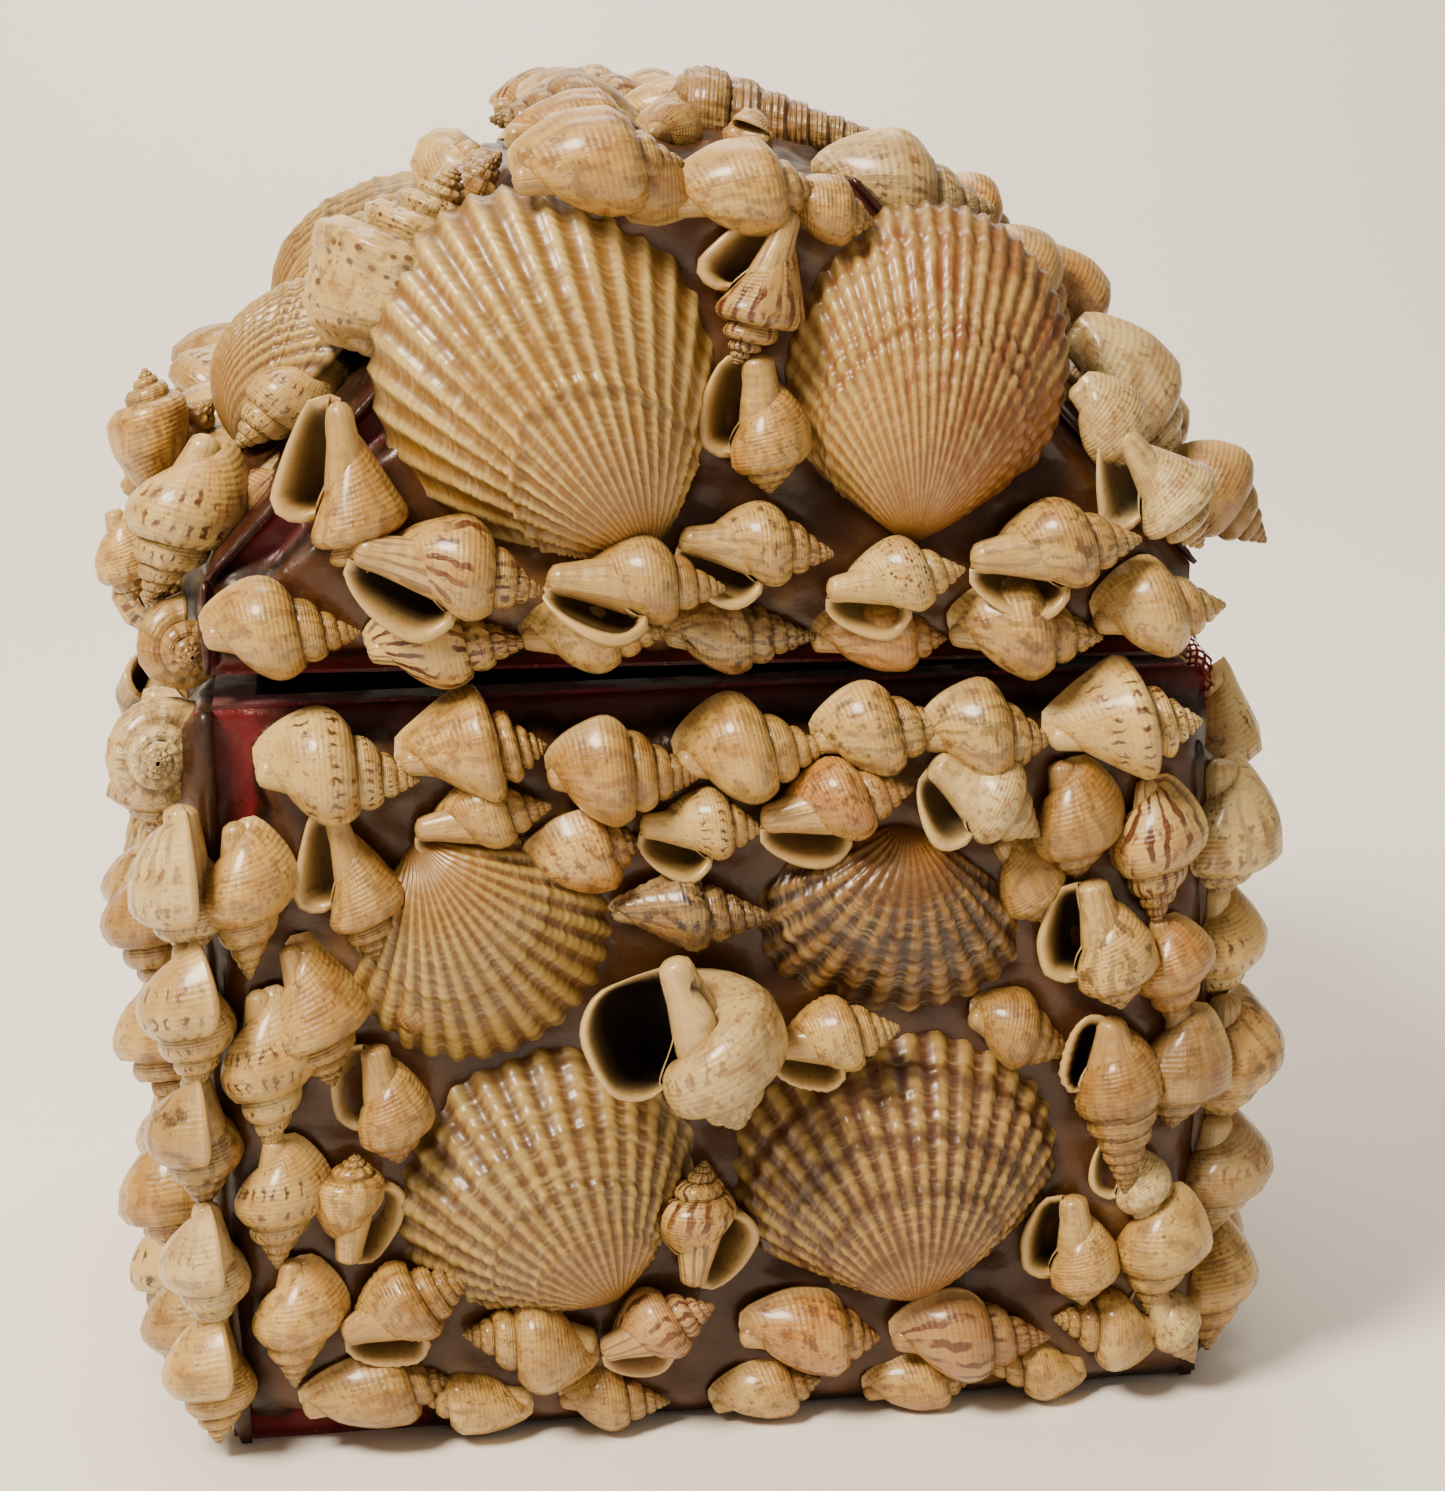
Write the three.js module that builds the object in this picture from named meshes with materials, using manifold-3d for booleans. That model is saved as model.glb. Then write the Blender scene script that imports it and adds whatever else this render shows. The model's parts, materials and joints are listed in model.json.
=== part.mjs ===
// A hinged trinket box in the shape of a small chest, covered in sea shells set in glue.
// Millimetres, +Z up. The origin is the middle of the flat underside. The chest's end faces -Y.
import * as THREE from "three";
import { mergeVertices } from "three/addons/utils/BufferGeometryUtils.js";
import Module from "manifold-3d";

const wasm = await Module();
wasm.setup();

// Carcass of the body
const boxWidth = 94;
const boxDepth = 90;
const boxHeight = 74.5;
const wallThickness = 4;
const floorThickness = 4;

// Carcass of the lid, whose section is a square box with its two long edges cut off
const lidRise = 45;
const lidSideRise = 9;
const lidSlopeAngle = 47;
const lidWallThickness = 4;

// Seam and hinge. The lid sits a little open on the side away from its hinge.
const seamGap = 0.8;
const ajarAngle = 1.3;
const clothThickness = 0.8;
const clothReach = 7;
const clothEndMargin = 6;

// Glue beds and the space that pieces keep from each other
const bedThickness = 1.2;
const bedClearance = 0.2;
const bedMargin = 3;
const rimBand = 7;
const pieceGap = 0.3;
const crestMargin = 1;

// Shells: their usual size on the faces that are covered in rows, and how much one differs from the
// next in place (as a share of the face), length, width and turn
const rowShellLength = 13;
const rowShellWidth = 10;
const placeChange = 0.015;
const lengthChange = 1;
const widthChange = 0.8;
const turnChange = 9;
const fanTurnChange = 14;

const radians = THREE.MathUtils.degToRad;

const bedBottom = bedClearance;
const bedTop = bedClearance + bedThickness;

const lidSlopeRun = (lidRise - lidSideRise) / Math.tan(radians(lidSlopeAngle));
const lidSlopeLength = (lidRise - lidSideRise) / Math.sin(radians(lidSlopeAngle));
const lidTopWidth = boxWidth - 2 * lidSlopeRun;
const lidBase = boxHeight + seamGap;
const hinge = new THREE.Vector3(
  boxWidth / 2 + pieceGap + clothThickness / 2,
  0,
  boxHeight + seamGap / 2,
);

const colours = {
  cloth: 0x8c2d32,
  gauze: 0xa8484c,
  glue: 0xb9a184,
  cream: 0xd7c396,
  ivory: 0xe6dcc0,
  tan: 0xb98a55,
  brown: 0x7d5234,
};

const roughness = { cloth: 0.85, gauze: 0.9, glue: 0.3, shell: 0.35 };

// Solids

function solidOf(geometry) {
  const bare = geometry.clone();
  bare.deleteAttribute("normal");
  bare.deleteAttribute("uv");
  const merged = mergeVertices(bare, 1e-4);
  return new wasm.Manifold(
    new wasm.Mesh({
      numProp: 3,
      vertProperties: merged.attributes.position.array,
      triVerts: new Uint32Array(merged.index.array),
    }),
  );
}

function geometryOf(solid) {
  const mesh = solid.getMesh();
  const geometry = new THREE.BufferGeometry();
  geometry.setAttribute("position", new THREE.BufferAttribute(mesh.vertProperties, 3));
  geometry.setIndex(new THREE.BufferAttribute(mesh.triVerts, 1));
  geometry.computeVertexNormals();
  return geometry;
}

// What is left of a solid after a cut can fall apart: the largest piece is the one that stays.
function largest(solid) {
  const bodies = solid.decompose();
  return bodies.reduce((best, next) => (next.volume() > best.volume() ? next : best));
}

// A closed surface through rings of equally many points, anticlockwise about the way they advance.
function loft(rings) {
  const count = rings[0].length;
  const last = (rings.length - 1) * count;
  const index = [];
  for (let i = 0; i + 1 < rings.length; i++) {
    for (let j = 0; j < count; j++) {
      const a = i * count + j;
      const b = i * count + ((j + 1) % count);
      index.push(a, b, b + count, a, b + count, a + count);
    }
  }
  for (let j = 1; j + 1 < count; j++) {
    index.push(0, j + 1, j, last, last + j, last + j + 1);
  }
  const geometry = new THREE.BufferGeometry();
  geometry.setFromPoints(rings.flat());
  geometry.setIndex(index);
  return geometry;
}

function extruded(points, thickness) {
  const shape = new THREE.Shape(points.map(([x, y]) => new THREE.Vector2(x, y)));
  return new THREE.ExtrudeGeometry(shape, { depth: thickness, bevelEnabled: false });
}

// Shell forms. Each lies along X with its outer side facing +Z and its middle at the origin.

// Whorled shells: how much of the length is spire, how many whorls it has, how wide the canal end
// is beside the body whorl, and how many sides the section has.
const whorled = {
  whelk: { spire: 0.45, whorls: 2, canal: 0.3, sides: 6 },
  olive: { spire: 0.22, whorls: 1, canal: 0.42, sides: 6 },
  conch: { spire: 0.34, whorls: 2, canal: 0.24, sides: 7 },
  turban: { spire: 0.42, whorls: 3, canal: 0.55, sides: 8 },
  spindle: { spire: 0.5, whorls: 3, canal: 0.16, sides: 7 },
  cerith: { spire: 0.66, whorls: 5, canal: 0.4, sides: 7 },
  turret: { spire: 0.86, whorls: 7, canal: 0.6, sides: 6 },
  plain: { spire: 0.55, whorls: 1, canal: 0.3, sides: 5, pressed: true },
};
const pressedFrom = -24;
const pressedTo = 204;
const sutureDepth = 0.2;
const ringTilt = 0.16;
const ringReach = 0.97;
const widestPlace = 0.66;
const spireTaper = 0.88;
const whorlFullness = 0.86;
const tipRadius = 0.08;

// Stations along a whorled shell: the place as a share of the length and the radius as a share of
// the largest one.
function stations(form) {
  const body = 1 - form.spire;
  const places = [
    [0, form.canal],
    [body * widestPlace, 1],
  ];
  for (let k = 0; k < form.whorls; k++) {
    const from = k / form.whorls;
    const taper = 1 - from * spireTaper;
    places.push([body + form.spire * from, taper * (1 - sutureDepth)]);
    if (form.pressed) break;
    places.push([body + form.spire * (from + 0.5 / form.whorls), taper * whorlFullness]);
  }
  places.push([1, tipRadius]);
  return places;
}

// A shell that is pressed into the glue has a flat underside at zero height.
function whorledShell(form, length, width) {
  const from = radians(form.pressed ? pressedFrom : 0);
  const step = form.pressed
    ? radians(pressedTo - pressedFrom) / (form.sides - 1)
    : (2 * Math.PI) / form.sides;
  const rings = stations(form).map(([place, share]) => {
    const radius = (share * width) / 2;
    const centre = form.pressed ? -radius * Math.sin(from) : 0;
    return Array.from({ length: form.sides }, (_, j) => {
      const angle = from + j * step;
      const side = radius * Math.cos(angle);
      const along = (place - 0.5) * length * ringReach + ringTilt * side;
      const high = centre + radius * Math.sin(angle);
      return new THREE.Vector3(along, side, Math.abs(high) < 1e-9 ? 0 : high);
    });
  });
  return solidOf(loft(rings));
}

// A mouth cut into the body whorl of a whorled shell, on its outer side. Half its length and its
// place along the shell are shares of the shell's length, and the others are shares of its width.
const mouthForm = { long: 0.28, wide: 0.23, deep: 0.4, along: -0.2, aside: -0.1, high: 0.5 };
const mouthTurn = 12;

function withMouth(shell, length, width) {
  const mouth = new THREE.OctahedronGeometry(1, 0);
  mouth.scale(length * mouthForm.long, width * mouthForm.wide, width * mouthForm.deep);
  mouth.rotateZ(radians(mouthTurn));
  mouth.translate(length * mouthForm.along, width * mouthForm.aside, width * mouthForm.high);
  return shell.subtract(solidOf(mouth));
}

// A fan shell: ribs spread from the beak, and the dome is highest past its first third.
const fanSpread = 66;
const fanEdge = 0.94;
const fanHalfWidth = 0.53;
const fanRings = [0.3, 0.66, 0.9, 1];
const fanRimPower = 0.35;
const fanScallop = 0.03;
const fanSkew = 0.75;
const fanFullness = 0.7;
const fanCrownPower = 0.5;
const fanRibRelief = 0.06;

function fanShell(ribs, length, width, height) {
  const columns = 2 * ribs + 1;
  const points = [new THREE.Vector3(-length / 2, 0, 0)];
  for (const share of fanRings) {
    for (let k = 0; k < columns; k++) {
      const side = (2 * k) / (columns - 1) - 1;
      const angle = radians(fanSpread) * side * fanEdge;
      const rib = k % 2 ? 1 : 0;
      const rim = Math.cos((Math.PI / 2) * side * fanEdge) ** fanRimPower;
      const reach = share * rim * (1 + fanScallop * rib * share);
      const dome = Math.sin(Math.PI * share ** fanSkew) ** fanFullness;
      const crown = Math.cos((Math.PI / 2) * side) ** fanCrownPower;
      const inner = share < 1 && Math.abs(side) < 1;
      const rise = dome * crown * (1 - fanRibRelief) + fanRibRelief * rib;
      const lift = inner ? height * rise : 0;
      points.push(
        new THREE.Vector3(
          reach * Math.cos(angle) * length - length / 2,
          (reach * Math.sin(angle) * width) / (2 * fanHalfWidth),
          lift,
        ),
      );
    }
  }
  const at = (ring, k) => 1 + ring * columns + k;
  const index = [];
  for (let k = 0; k + 1 < columns; k++) {
    index.push(0, at(0, k), at(0, k + 1));
    for (let ring = 0; ring + 1 < fanRings.length; ring++) {
      index.push(at(ring, k), at(ring + 1, k), at(ring + 1, k + 1));
      index.push(at(ring, k), at(ring + 1, k + 1), at(ring, k + 1));
    }
  }
  const lastRing = fanRings.length - 1;
  const outline = [0];
  for (let ring = 0; ring < lastRing; ring++) outline.push(at(ring, 0));
  for (let k = 0; k < columns; k++) outline.push(at(lastRing, k));
  for (let ring = lastRing - 1; ring >= 0; ring--) outline.push(at(ring, columns - 1));
  points.push(new THREE.Vector3(0, 0, 0));
  const middle = points.length - 1;
  outline.forEach((from, i) => index.push(middle, outline[(i + 1) % outline.length], from));
  const geometry = new THREE.BufferGeometry();
  geometry.setFromPoints(points);
  geometry.setIndex(index);
  return solidOf(geometry);
}

// A moon shell: a full round body whorl with a low spire and a wide round mouth. Each part is a
// ball by its size and place, as shares of the shell's length, width and height.
const moonParts = {
  body: { size: [1, 1, 1], place: [0, 0, 0], around: 10, down: 7 },
  spire: { size: [0.5, 0.5, 0.62], place: [0.22, 0.2, 0.24], around: 6, down: 4 },
  mouth: { size: [0.46, 0.64, 0.9], place: [-0.24, 0, 0.42], around: 8, down: 4 },
};
const moonRise = 0.66;

function moonPart({ size, place, around, down }, sizes, turn) {
  const ball = new THREE.SphereGeometry(0.5, around, down);
  ball.rotateX(Math.PI / 2);
  ball.scale(...sizes.map((side, i) => side * size[i]));
  ball.rotateZ(radians(turn));
  ball.translate(...sizes.map((side, i) => side * place[i]));
  return solidOf(ball);
}

function moonShell(length, width) {
  const sizes = [length, width, width * moonRise];
  const { body: whorl, spire, mouth } = moonParts;
  return moonPart(whorl, sizes, 0)
    .add(moonPart(spire, sizes, 0))
    .subtract(moonPart(mouth, sizes, mouthTurn));
}

const fans = {
  fan: { ribs: 10, rise: 0.34 },
  plainFan: { ribs: 5, rise: 0.36 },
};

// A shell by its kind, with its lowest point at zero height, turned in the plane of its face.
// The turn is the way that its spire or its open rim points, anticlockwise from the face's right.
function shellSolid({ kind, length, width, turn, mouth, tip = 0 }) {
  let solid;
  if (kind in fans) {
    const { ribs, rise } = fans[kind];
    solid = fanShell(ribs, length, width, Math.min(length, width) * rise);
  } else if (kind === "moon") {
    solid = moonShell(length, width);
  } else {
    solid = whorledShell(whorled[kind], length, width);
    if (mouth) solid = withMouth(solid, length, width);
  }
  const turned = solid.rotate([0, -tip, 0]).rotate([0, 0, turn]);
  return turned.translate([0, 0, -turned.boundingBox().min[2]]);
}

// Faces. A face is a group whose X runs to the right, Y up it and Z out of it. Its width and
// height are the carcass's own, and its shells are placed by shares of them.

function faceGroup(turn, lean, width, height, out, up) {
  const holder = new THREE.Group();
  holder.rotation.z = radians(turn);
  const face = new THREE.Group();
  face.position.set(0, -out, up);
  face.rotation.x = radians(lean);
  holder.add(face);
  return { holder, face, width, height, taken: [] };
}

function placed(face, shell, base) {
  const lift = base + (shell.lift ?? 0);
  return shellSolid(shell).translate([shell.across * face.width, shell.up * face.height, lift]);
}

// The solid grown about its middle, so that what it cuts keeps the gap.
function grown(solid) {
  const { min, max } = solid.boundingBox();
  const middle = min.map((low, i) => (low + max[i]) / 2);
  const scale = min.map((low, i) => 1 + (2 * pieceGap) / (max[i] - low));
  return solid
    .translate(middle.map((m) => -m))
    .scale(scale)
    .translate(middle)
    .add(solid);
}

function touches(a, b) {
  const p = a.boundingBox();
  const q = b.boundingBox();
  return p.min.every((low, i) => low < q.max[i] && q.min[i] < p.max[i]);
}

function cutBy(solid, others) {
  return others
    .filter((other) => touches(solid, other))
    .reduce((left, other) => left.subtract(other), solid);
}

function addMesh(parent, name, geometry, colour, rough) {
  const material = new THREE.MeshStandardMaterial({
    color: colour,
    roughness: rough,
    metalness: 0,
  });
  const mesh = new THREE.Mesh(geometry, material);
  mesh.name = name;
  parent.add(mesh);
  return mesh;
}

// Named shells, each a piece of its own, in the order in which they were pressed into the glue.
function addShells(face, shells) {
  for (const shell of shells) {
    const solid = largest(cutBy(placed(face, shell, bedTop + pieceGap), face.taken));
    face.taken.push(grown(solid));
    const colour = colours[shell.colour ?? "cream"];
    addMesh(face.face, shell.name, geometryOf(solid), colour, roughness.shell);
  }
}

// A glue bed of a face, with the small shells that are pressed into it.
function bedSolid(face, outline, shells) {
  let bed = solidOf(extruded(outline, bedThickness).translate(0, 0, bedBottom));
  for (const shell of shells) bed = bed.add(cutBy(placed(face, shell, bedTop), face.taken));
  return bed;
}

function addBed(face, name, outline, shells, ledge) {
  let bed = bedSolid(face, outline, shells);
  if (ledge) bed = bed.add(cutBy(ledge, face.taken));
  addMesh(face.face, name, geometryOf(largest(bed)), colours.glue, roughness.glue);
}

function rectangle(left, right, bottom, top) {
  return [
    [left, bottom],
    [right, bottom],
    [right, top],
    [left, top],
  ];
}

// Carcass

function bodyCarcass() {
  const outer = new THREE.BoxGeometry(boxWidth, boxDepth, boxHeight);
  outer.translate(0, 0, boxHeight / 2);
  const inner = new THREE.BoxGeometry(
    boxWidth - 2 * wallThickness,
    boxDepth - 2 * wallThickness,
    boxHeight,
  );
  inner.translate(0, 0, boxHeight / 2 + floorThickness);
  return solidOf(outer).subtract(solidOf(inner));
}

// The lid's end outline, from its lower edge at zero height, set in by a wall all round but below.
function lidOutline(inset) {
  const lean = radians(lidSlopeAngle);
  const half = boxWidth / 2 - inset;
  const top = lidRise - inset;
  const shoulder = lidSideRise - inset * Math.tan((Math.PI / 2 - lean) / 2);
  const crest = half - (top - shoulder) / Math.tan(lean);
  const right = [
    [half, 0],
    [half, shoulder],
    [crest, top],
  ];
  const left = right.map(([x, y]) => [-x, y]).reverse();
  return [...right, ...left];
}

function lidPrism(inset, length) {
  const prism = extruded(lidOutline(inset), length);
  prism.rotateX(Math.PI / 2);
  prism.translate(0, length / 2, lidBase);
  return prism;
}

function lidCarcass() {
  const outer = solidOf(lidPrism(0, boxDepth));
  const inner = lidPrism(lidWallThickness, boxDepth - 2 * lidWallThickness);
  const hollow = solidOf(inner);
  const mouth = hollow.translate([0, 0, -lidSideRise / 2]);
  return outer.subtract(hollow).subtract(mouth);
}

function hingeCloth(bottom, top) {
  const strip = new THREE.BoxGeometry(
    clothThickness,
    boxDepth - 2 * clothEndMargin,
    top - bottom,
  );
  strip.translate(hinge.x, 0, (top + bottom) / 2);
  return strip;
}

// Shells in rows, for the faces away from the photographed end. Each row runs across the face, and
// the spires point down, with a small change of size and turn from shell to shell.
let seed = 7;
function vary(amount) {
  seed = (seed * 16807) % 2147483647;
  return ((seed / 2147483647) * 2 - 1) * amount;
}

function rowsOfShells(columns, rows, thickness) {
  const shells = [];
  for (const up of rows) {
    for (const across of columns) {
      shells.push({
        kind: "plain",
        across: across + vary(placeChange),
        up: up + vary(placeChange),
        length: rowShellLength + vary(lengthChange),
        width: thickness + vary(widthChange),
        turn: -90 + vary(turnChange),
      });
    }
  }
  return shells;
}

// Fans on the same faces, by their place across and up the face and their width, open end upwards.
function fansAt(places) {
  return places.map(([across, up, width]) => ({
    kind: "plainFan",
    across,
    up,
    length: width * 0.92,
    width,
    turn: 90 + vary(fanTurnChange),
  }));
}

// The row of the left ledge: its places along the ledge, and how far its spires lean off it
const ledgePlaces = [0.41, 0.25, 0.09, -0.07, -0.23, -0.39];
const ledgeHeight = 0.56;
const ledgeLean = 6;

// Group tree
const root = new THREE.Group();
const body = new THREE.Group();
const lid = new THREE.Group();
const lidFrame = new THREE.Group();
lid.position.copy(hinge);
lid.rotation.y = radians(ajarAngle);
lidFrame.position.copy(hinge).negate();
lid.add(lidFrame);
root.add(body, lid);

addMesh(body, "box_body", geometryOf(bodyCarcass()), colours.cloth, roughness.cloth);
addMesh(lidFrame, "lid", geometryOf(lidCarcass()), colours.cloth, roughness.cloth);
addMesh(
  body,
  "hinge_cloth_lower",
  hingeCloth(boxHeight - clothReach, boxHeight - pieceGap / 2),
  colours.gauze,
  roughness.gauze,
);
addMesh(
  lidFrame,
  "hinge_cloth_upper",
  hingeCloth(lidBase + pieceGap / 2, lidBase + clothReach),
  colours.gauze,
  roughness.gauze,
);

// Front end of the body
const bodyFront = faceGroup(0, 90, boxWidth, boxHeight, boxDepth / 2, 0);
const whelk = (name, across, up, length, width, turn, more = {}) => ({
  name,
  kind: "whelk",
  across,
  up,
  length,
  width,
  turn,
  ...more,
});
const fan = (name, across, up, length, width, turn, more = {}) => ({
  name,
  kind: "fan",
  across,
  up,
  length,
  width,
  turn,
  ...more,
});

addShells(bodyFront, [
  fan("fan_brown_lattice", 0.183, 0.345, 28, 32, 97, { colour: "tan" }),
  fan("fan_stepped", -0.182, 0.348, 26.5, 29, 118),
  fan("fan_cream", -0.246, 0.689, 22.5, 25.5, -62),
  fan("fan_tan", 0.178, 0.688, 18.5, 27, -100, { colour: "tan" }),
  {
    name: "moon_shell",
    kind: "moon",
    across: -0.042,
    up: 0.564,
    length: 18,
    width: 17.5,
    turn: 0,
    lift: 1.5,
    colour: "ivory",
  },
  whelk("top_row_shell_1", -0.380, 0.932, 13.6, 9, -6),
  whelk("top_row_shell_2", -0.247, 0.949, 12.6, 8.6, 4),
  whelk("top_row_shell_3", -0.096, 0.914, 13.6, 9, -3),
  whelk("top_row_shell_4", 0.034, 0.932, 13, 9, 3),
  whelk("top_row_shell_5", 0.168, 0.950, 12, 7.6, 4),
  whelk("top_row_shell_6", 0.276, 0.939, 11.6, 9, -4),
  whelk("top_row_shell_7", 0.422, 0.950, 13.2, 10.4, 8, { kind: "conch", mouth: true }),
  whelk("second_row_shell_1", -0.237, 0.849, 12.4, 8.4, 5, { mouth: true }),
  whelk("second_row_shell_2", -0.138, 0.805, 10.4, 7.4, 12, { kind: "olive", colour: "tan" }),
  whelk("second_row_shell_3", -0.019, 0.822, 11.8, 8.4, -4),
  whelk("second_row_shell_4", 0.119, 0.846, 13.6, 9.6, 10, { colour: "tan", mouth: true }),
  whelk("second_row_shell_5", 0.266, 0.846, 12, 10, -30, { colour: "ivory", mouth: true }),
  whelk("second_row_shell_6", 0.372, 0.815, 11.6, 8, -82, { kind: "olive" }),
  whelk("dark_spindle", -0.030, 0.722, 15.6, 7.2, -4, {
    kind: "spindle",
    colour: "brown",
    lift: 1,
  }),
  whelk("beaded_mouth_shell", 0.111, 0.541, 12.6, 8.6, 6, { lift: 2, mouth: true }),
  whelk("cerith", 0.410, 0.426, 18.6, 9.4, -84, { kind: "cerith", mouth: true, colour: "ivory" }),
  whelk("middle_low_shell", -0.021, 0.297, 12.8, 9.6, 76, { mouth: true }),
  whelk("left_low_shell", -0.334, 0.203, 13, 9.6, 22, { mouth: true }),
  whelk("pink_low_shell", 0.258, 0.115, 16.2, 8.8, -4),
  whelk("left_upper_shell", -0.375, 0.779, 14.8, 9.4, -84),
  whelk("left_corner_shell", -0.471, 0.766, 15, 8, -88),
]);

const filler = (across, up, length, width, turn, more = {}) => ({
  kind: "plain",
  across,
  up,
  length,
  width,
  turn,
  ...more,
});

addBed(
  bodyFront,
  "body_front_bed",
  rectangle(
    -boxWidth / 2 + bedMargin,
    boxWidth / 2 - bedMargin,
    bedMargin / 2,
    boxHeight - rimBand,
  ),
  [
    filler(0.318, 0.528, 11.5, 6.6, -24),
    filler(0.393, 0.646, 12.5, 9.5, -62),
    filler(0.436, 0.296, 10.5, 7.4, -80),
    filler(0.370, 0.214, 11, 8.6, -76),
    filler(-0.378, 0.346, 10.6, 7.6, 84),
    filler(-0.355, 0.489, 11, 8.4, -86),
    filler(-0.430, 0.628, 14.4, 8.6, -80),
    filler(-0.478, 0.526, 15.5, 8, -88, { lift: 1.5 }),
    filler(-0.464, 0.369, 12, 8.6, -92),
    filler(-0.450, 0.209, 13, 8.6, -96),
    filler(-0.357, 0.096, 13.6, 6.6, 8),
    filler(-0.207, 0.139, 12.6, 9.4, 172),
    filler(-0.074, 0.149, 11.4, 8.4, 20),
    filler(0.088, 0.129, 13.4, 7.8, -6),
    filler(0.408, 0.104, 10, 7.6, 170),
  ],
);
body.add(bodyFront.holder);

// Front end of the lid
const lidFront = faceGroup(0, 90, boxWidth, lidRise, boxDepth / 2, lidBase);
addShells(lidFront, [
  fan("lid_fan_left", -0.157, 0.598, 35, 29, 118),
  fan("lid_fan_right", 0.210, 0.613, 30, 25.5, 86, { colour: "tan" }),
  whelk("lid_upper_shell", 0.035, 0.818, 14.4, 10, -118, { mouth: true, colour: "ivory" }),
  whelk("lid_pale_shell", 0.036, 0.529, 12.2, 9, -96, { kind: "conch", mouth: true }),
  whelk("lid_flared_shell", -0.371, 0.399, 16.8, 11, -84, { kind: "conch", mouth: true }),
  whelk("lid_toothed_shell", -0.273, 0.231, 15.4, 10.6, -8, {
    kind: "conch",
    mouth: true,
    lift: 2.5,
  }),
  whelk("lid_pierced_shell", -0.090, 0.186, 14.6, 9.4, -8, { kind: "conch", lift: 2.5 }),
  whelk("lid_speckled_shell", 0.041, 0.267, 13.4, 8.4, -6, { mouth: true, lift: 1 }),
  whelk("lid_dotted_shell", 0.176, 0.189, 13.2, 8.6, -8, { mouth: true, lift: 1.5 }),
  whelk("lid_spotted_shell", 0.335, 0.248, 15.8, 9.8, -8, { mouth: true, lift: 1 }),
  whelk("lid_edge_shell", 0.436, 0.381, 11.8, 10.6, -50, { kind: "conch", colour: "ivory" }),
  whelk("lid_rim_shell_1", -0.268, 0.086, 13, 7, 2),
  whelk("lid_rim_shell_2", -0.119, 0.100, 12.2, 6.4, 2),
  whelk("lid_rim_shell_3", 0.027, 0.093, 12.6, 6.8, -2, { colour: "brown" }),
  whelk("lid_rim_shell_4", 0.319, 0.070, 13.6, 7.2, -3),
  whelk("lid_crest_shell", 0.021, 1.011, 12.6, 8, 6, { kind: "olive", colour: "ivory" }),
]);

addBed(
  lidFront,
  "lid_front_bed",
  lidOutline(bedMargin).map(([x, y]) => [x, Math.max(y, bedMargin)]),
  [
    filler(-0.434, 0.125, 13, 7.8, 0),
    filler(0.162, 0.080, 12.6, 6, 0),
    filler(0.416, 0.150, 11, 8, 10),
    filler(-0.286, 0.820, 9, 6, 20),
    filler(-0.066, 1.010, 9, 6, 170),
  ],
);
lidFrame.add(lidFront.holder);

// The upright strip of the lid's side below a slope: its bed and shells, in the slope's own frame.
function sideLedge(shells) {
  const side = { width: boxDepth, height: lidSideRise, taken: [] };
  const outline = rectangle(
    -boxDepth / 2 + bedMargin,
    boxDepth / 2 - bedMargin,
    bedMargin / 2,
    lidSideRise,
  );
  return bedSolid(side, outline, shells)
    .translate([0, -lidSideRise, 0])
    .rotate([90 - lidSlopeAngle, 0, 0]);
}

// Left slope of the lid, with its turban and the shells stacked at its front corner
const slopeOut = boxWidth / 2;
const slopeUp = lidBase + lidSideRise;
const lidLeft = faceGroup(-90, lidSlopeAngle, boxDepth, lidSlopeLength, slopeOut, slopeUp);
addShells(lidLeft, [
  whelk("turban_shell", 0.4, 0.68, 18, 15.4, 86, { kind: "turban" }),
]);
addBed(
  lidLeft,
  "lid_left_bed",
  rectangle(
    -boxDepth / 2 + bedMargin,
    boxDepth / 2 - bedMargin,
    -bedThickness,
    lidSlopeLength - bedMargin,
  ),
  [
    filler(0.4, 0.35, 13, 11, 10),
    { kind: "plainFan", across: 0.37, up: 0.42, length: 16, width: 17, turn: 100, lift: 8 },
    filler(0.42, 0.07, 16, 10.5, -84),
    filler(0.3, 0.1, 13, 8, 80, { lift: 5 }),
    ...fansAt([[0.1, 0.64, 30], [-0.28, 0.6, 32]]),
    ...rowsOfShells([0.17, 0.03, -0.11, -0.25, -0.41], [0.17], 11),
  ],
  sideLedge(
    ledgePlaces.map((across, i) => {
      const turn = i % 2 ? 180 - ledgeLean : ledgeLean;
      return filler(across, ledgeHeight, rowShellLength, lidSideRise * 0.9, turn);
    }),
  ),
);
lidFrame.add(lidLeft.holder);

// Right slope of the lid, above the hinge
const lidRight = faceGroup(90, lidSlopeAngle, boxDepth, lidSlopeLength, slopeOut, slopeUp);
addShells(lidRight, [
  whelk("lid_shoulder_shell", -0.4, 0.88, 18.4, 10, -86, { kind: "conch", colour: "ivory" }),
  whelk("lid_smooth_shell", -0.4, 0.32, 11.6, 10, 20, { kind: "olive", lift: 1.5 }),
  whelk("lid_corner_shell", -0.36, 0.55, 10.4, 9, 120, { mouth: true, lift: 3 }),
]);
addBed(
  lidRight,
  "lid_right_bed",
  rectangle(
    -boxDepth / 2 + bedMargin,
    boxDepth / 2 - bedMargin,
    bedMargin,
    lidSlopeLength - bedMargin,
  ),
  [
    filler(-0.4, 0.19, 12, 8.6, -120),
    filler(-0.26, 0.34, 12, 9, 70),
    ...fansAt([[-0.04, 0.66, 28], [0.3, 0.64, 30]]),
    ...rowsOfShells([-0.1, 0.06, 0.22, 0.39], [0.22], 10),
  ],
);
lidFrame.add(lidRight.holder);

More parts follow.
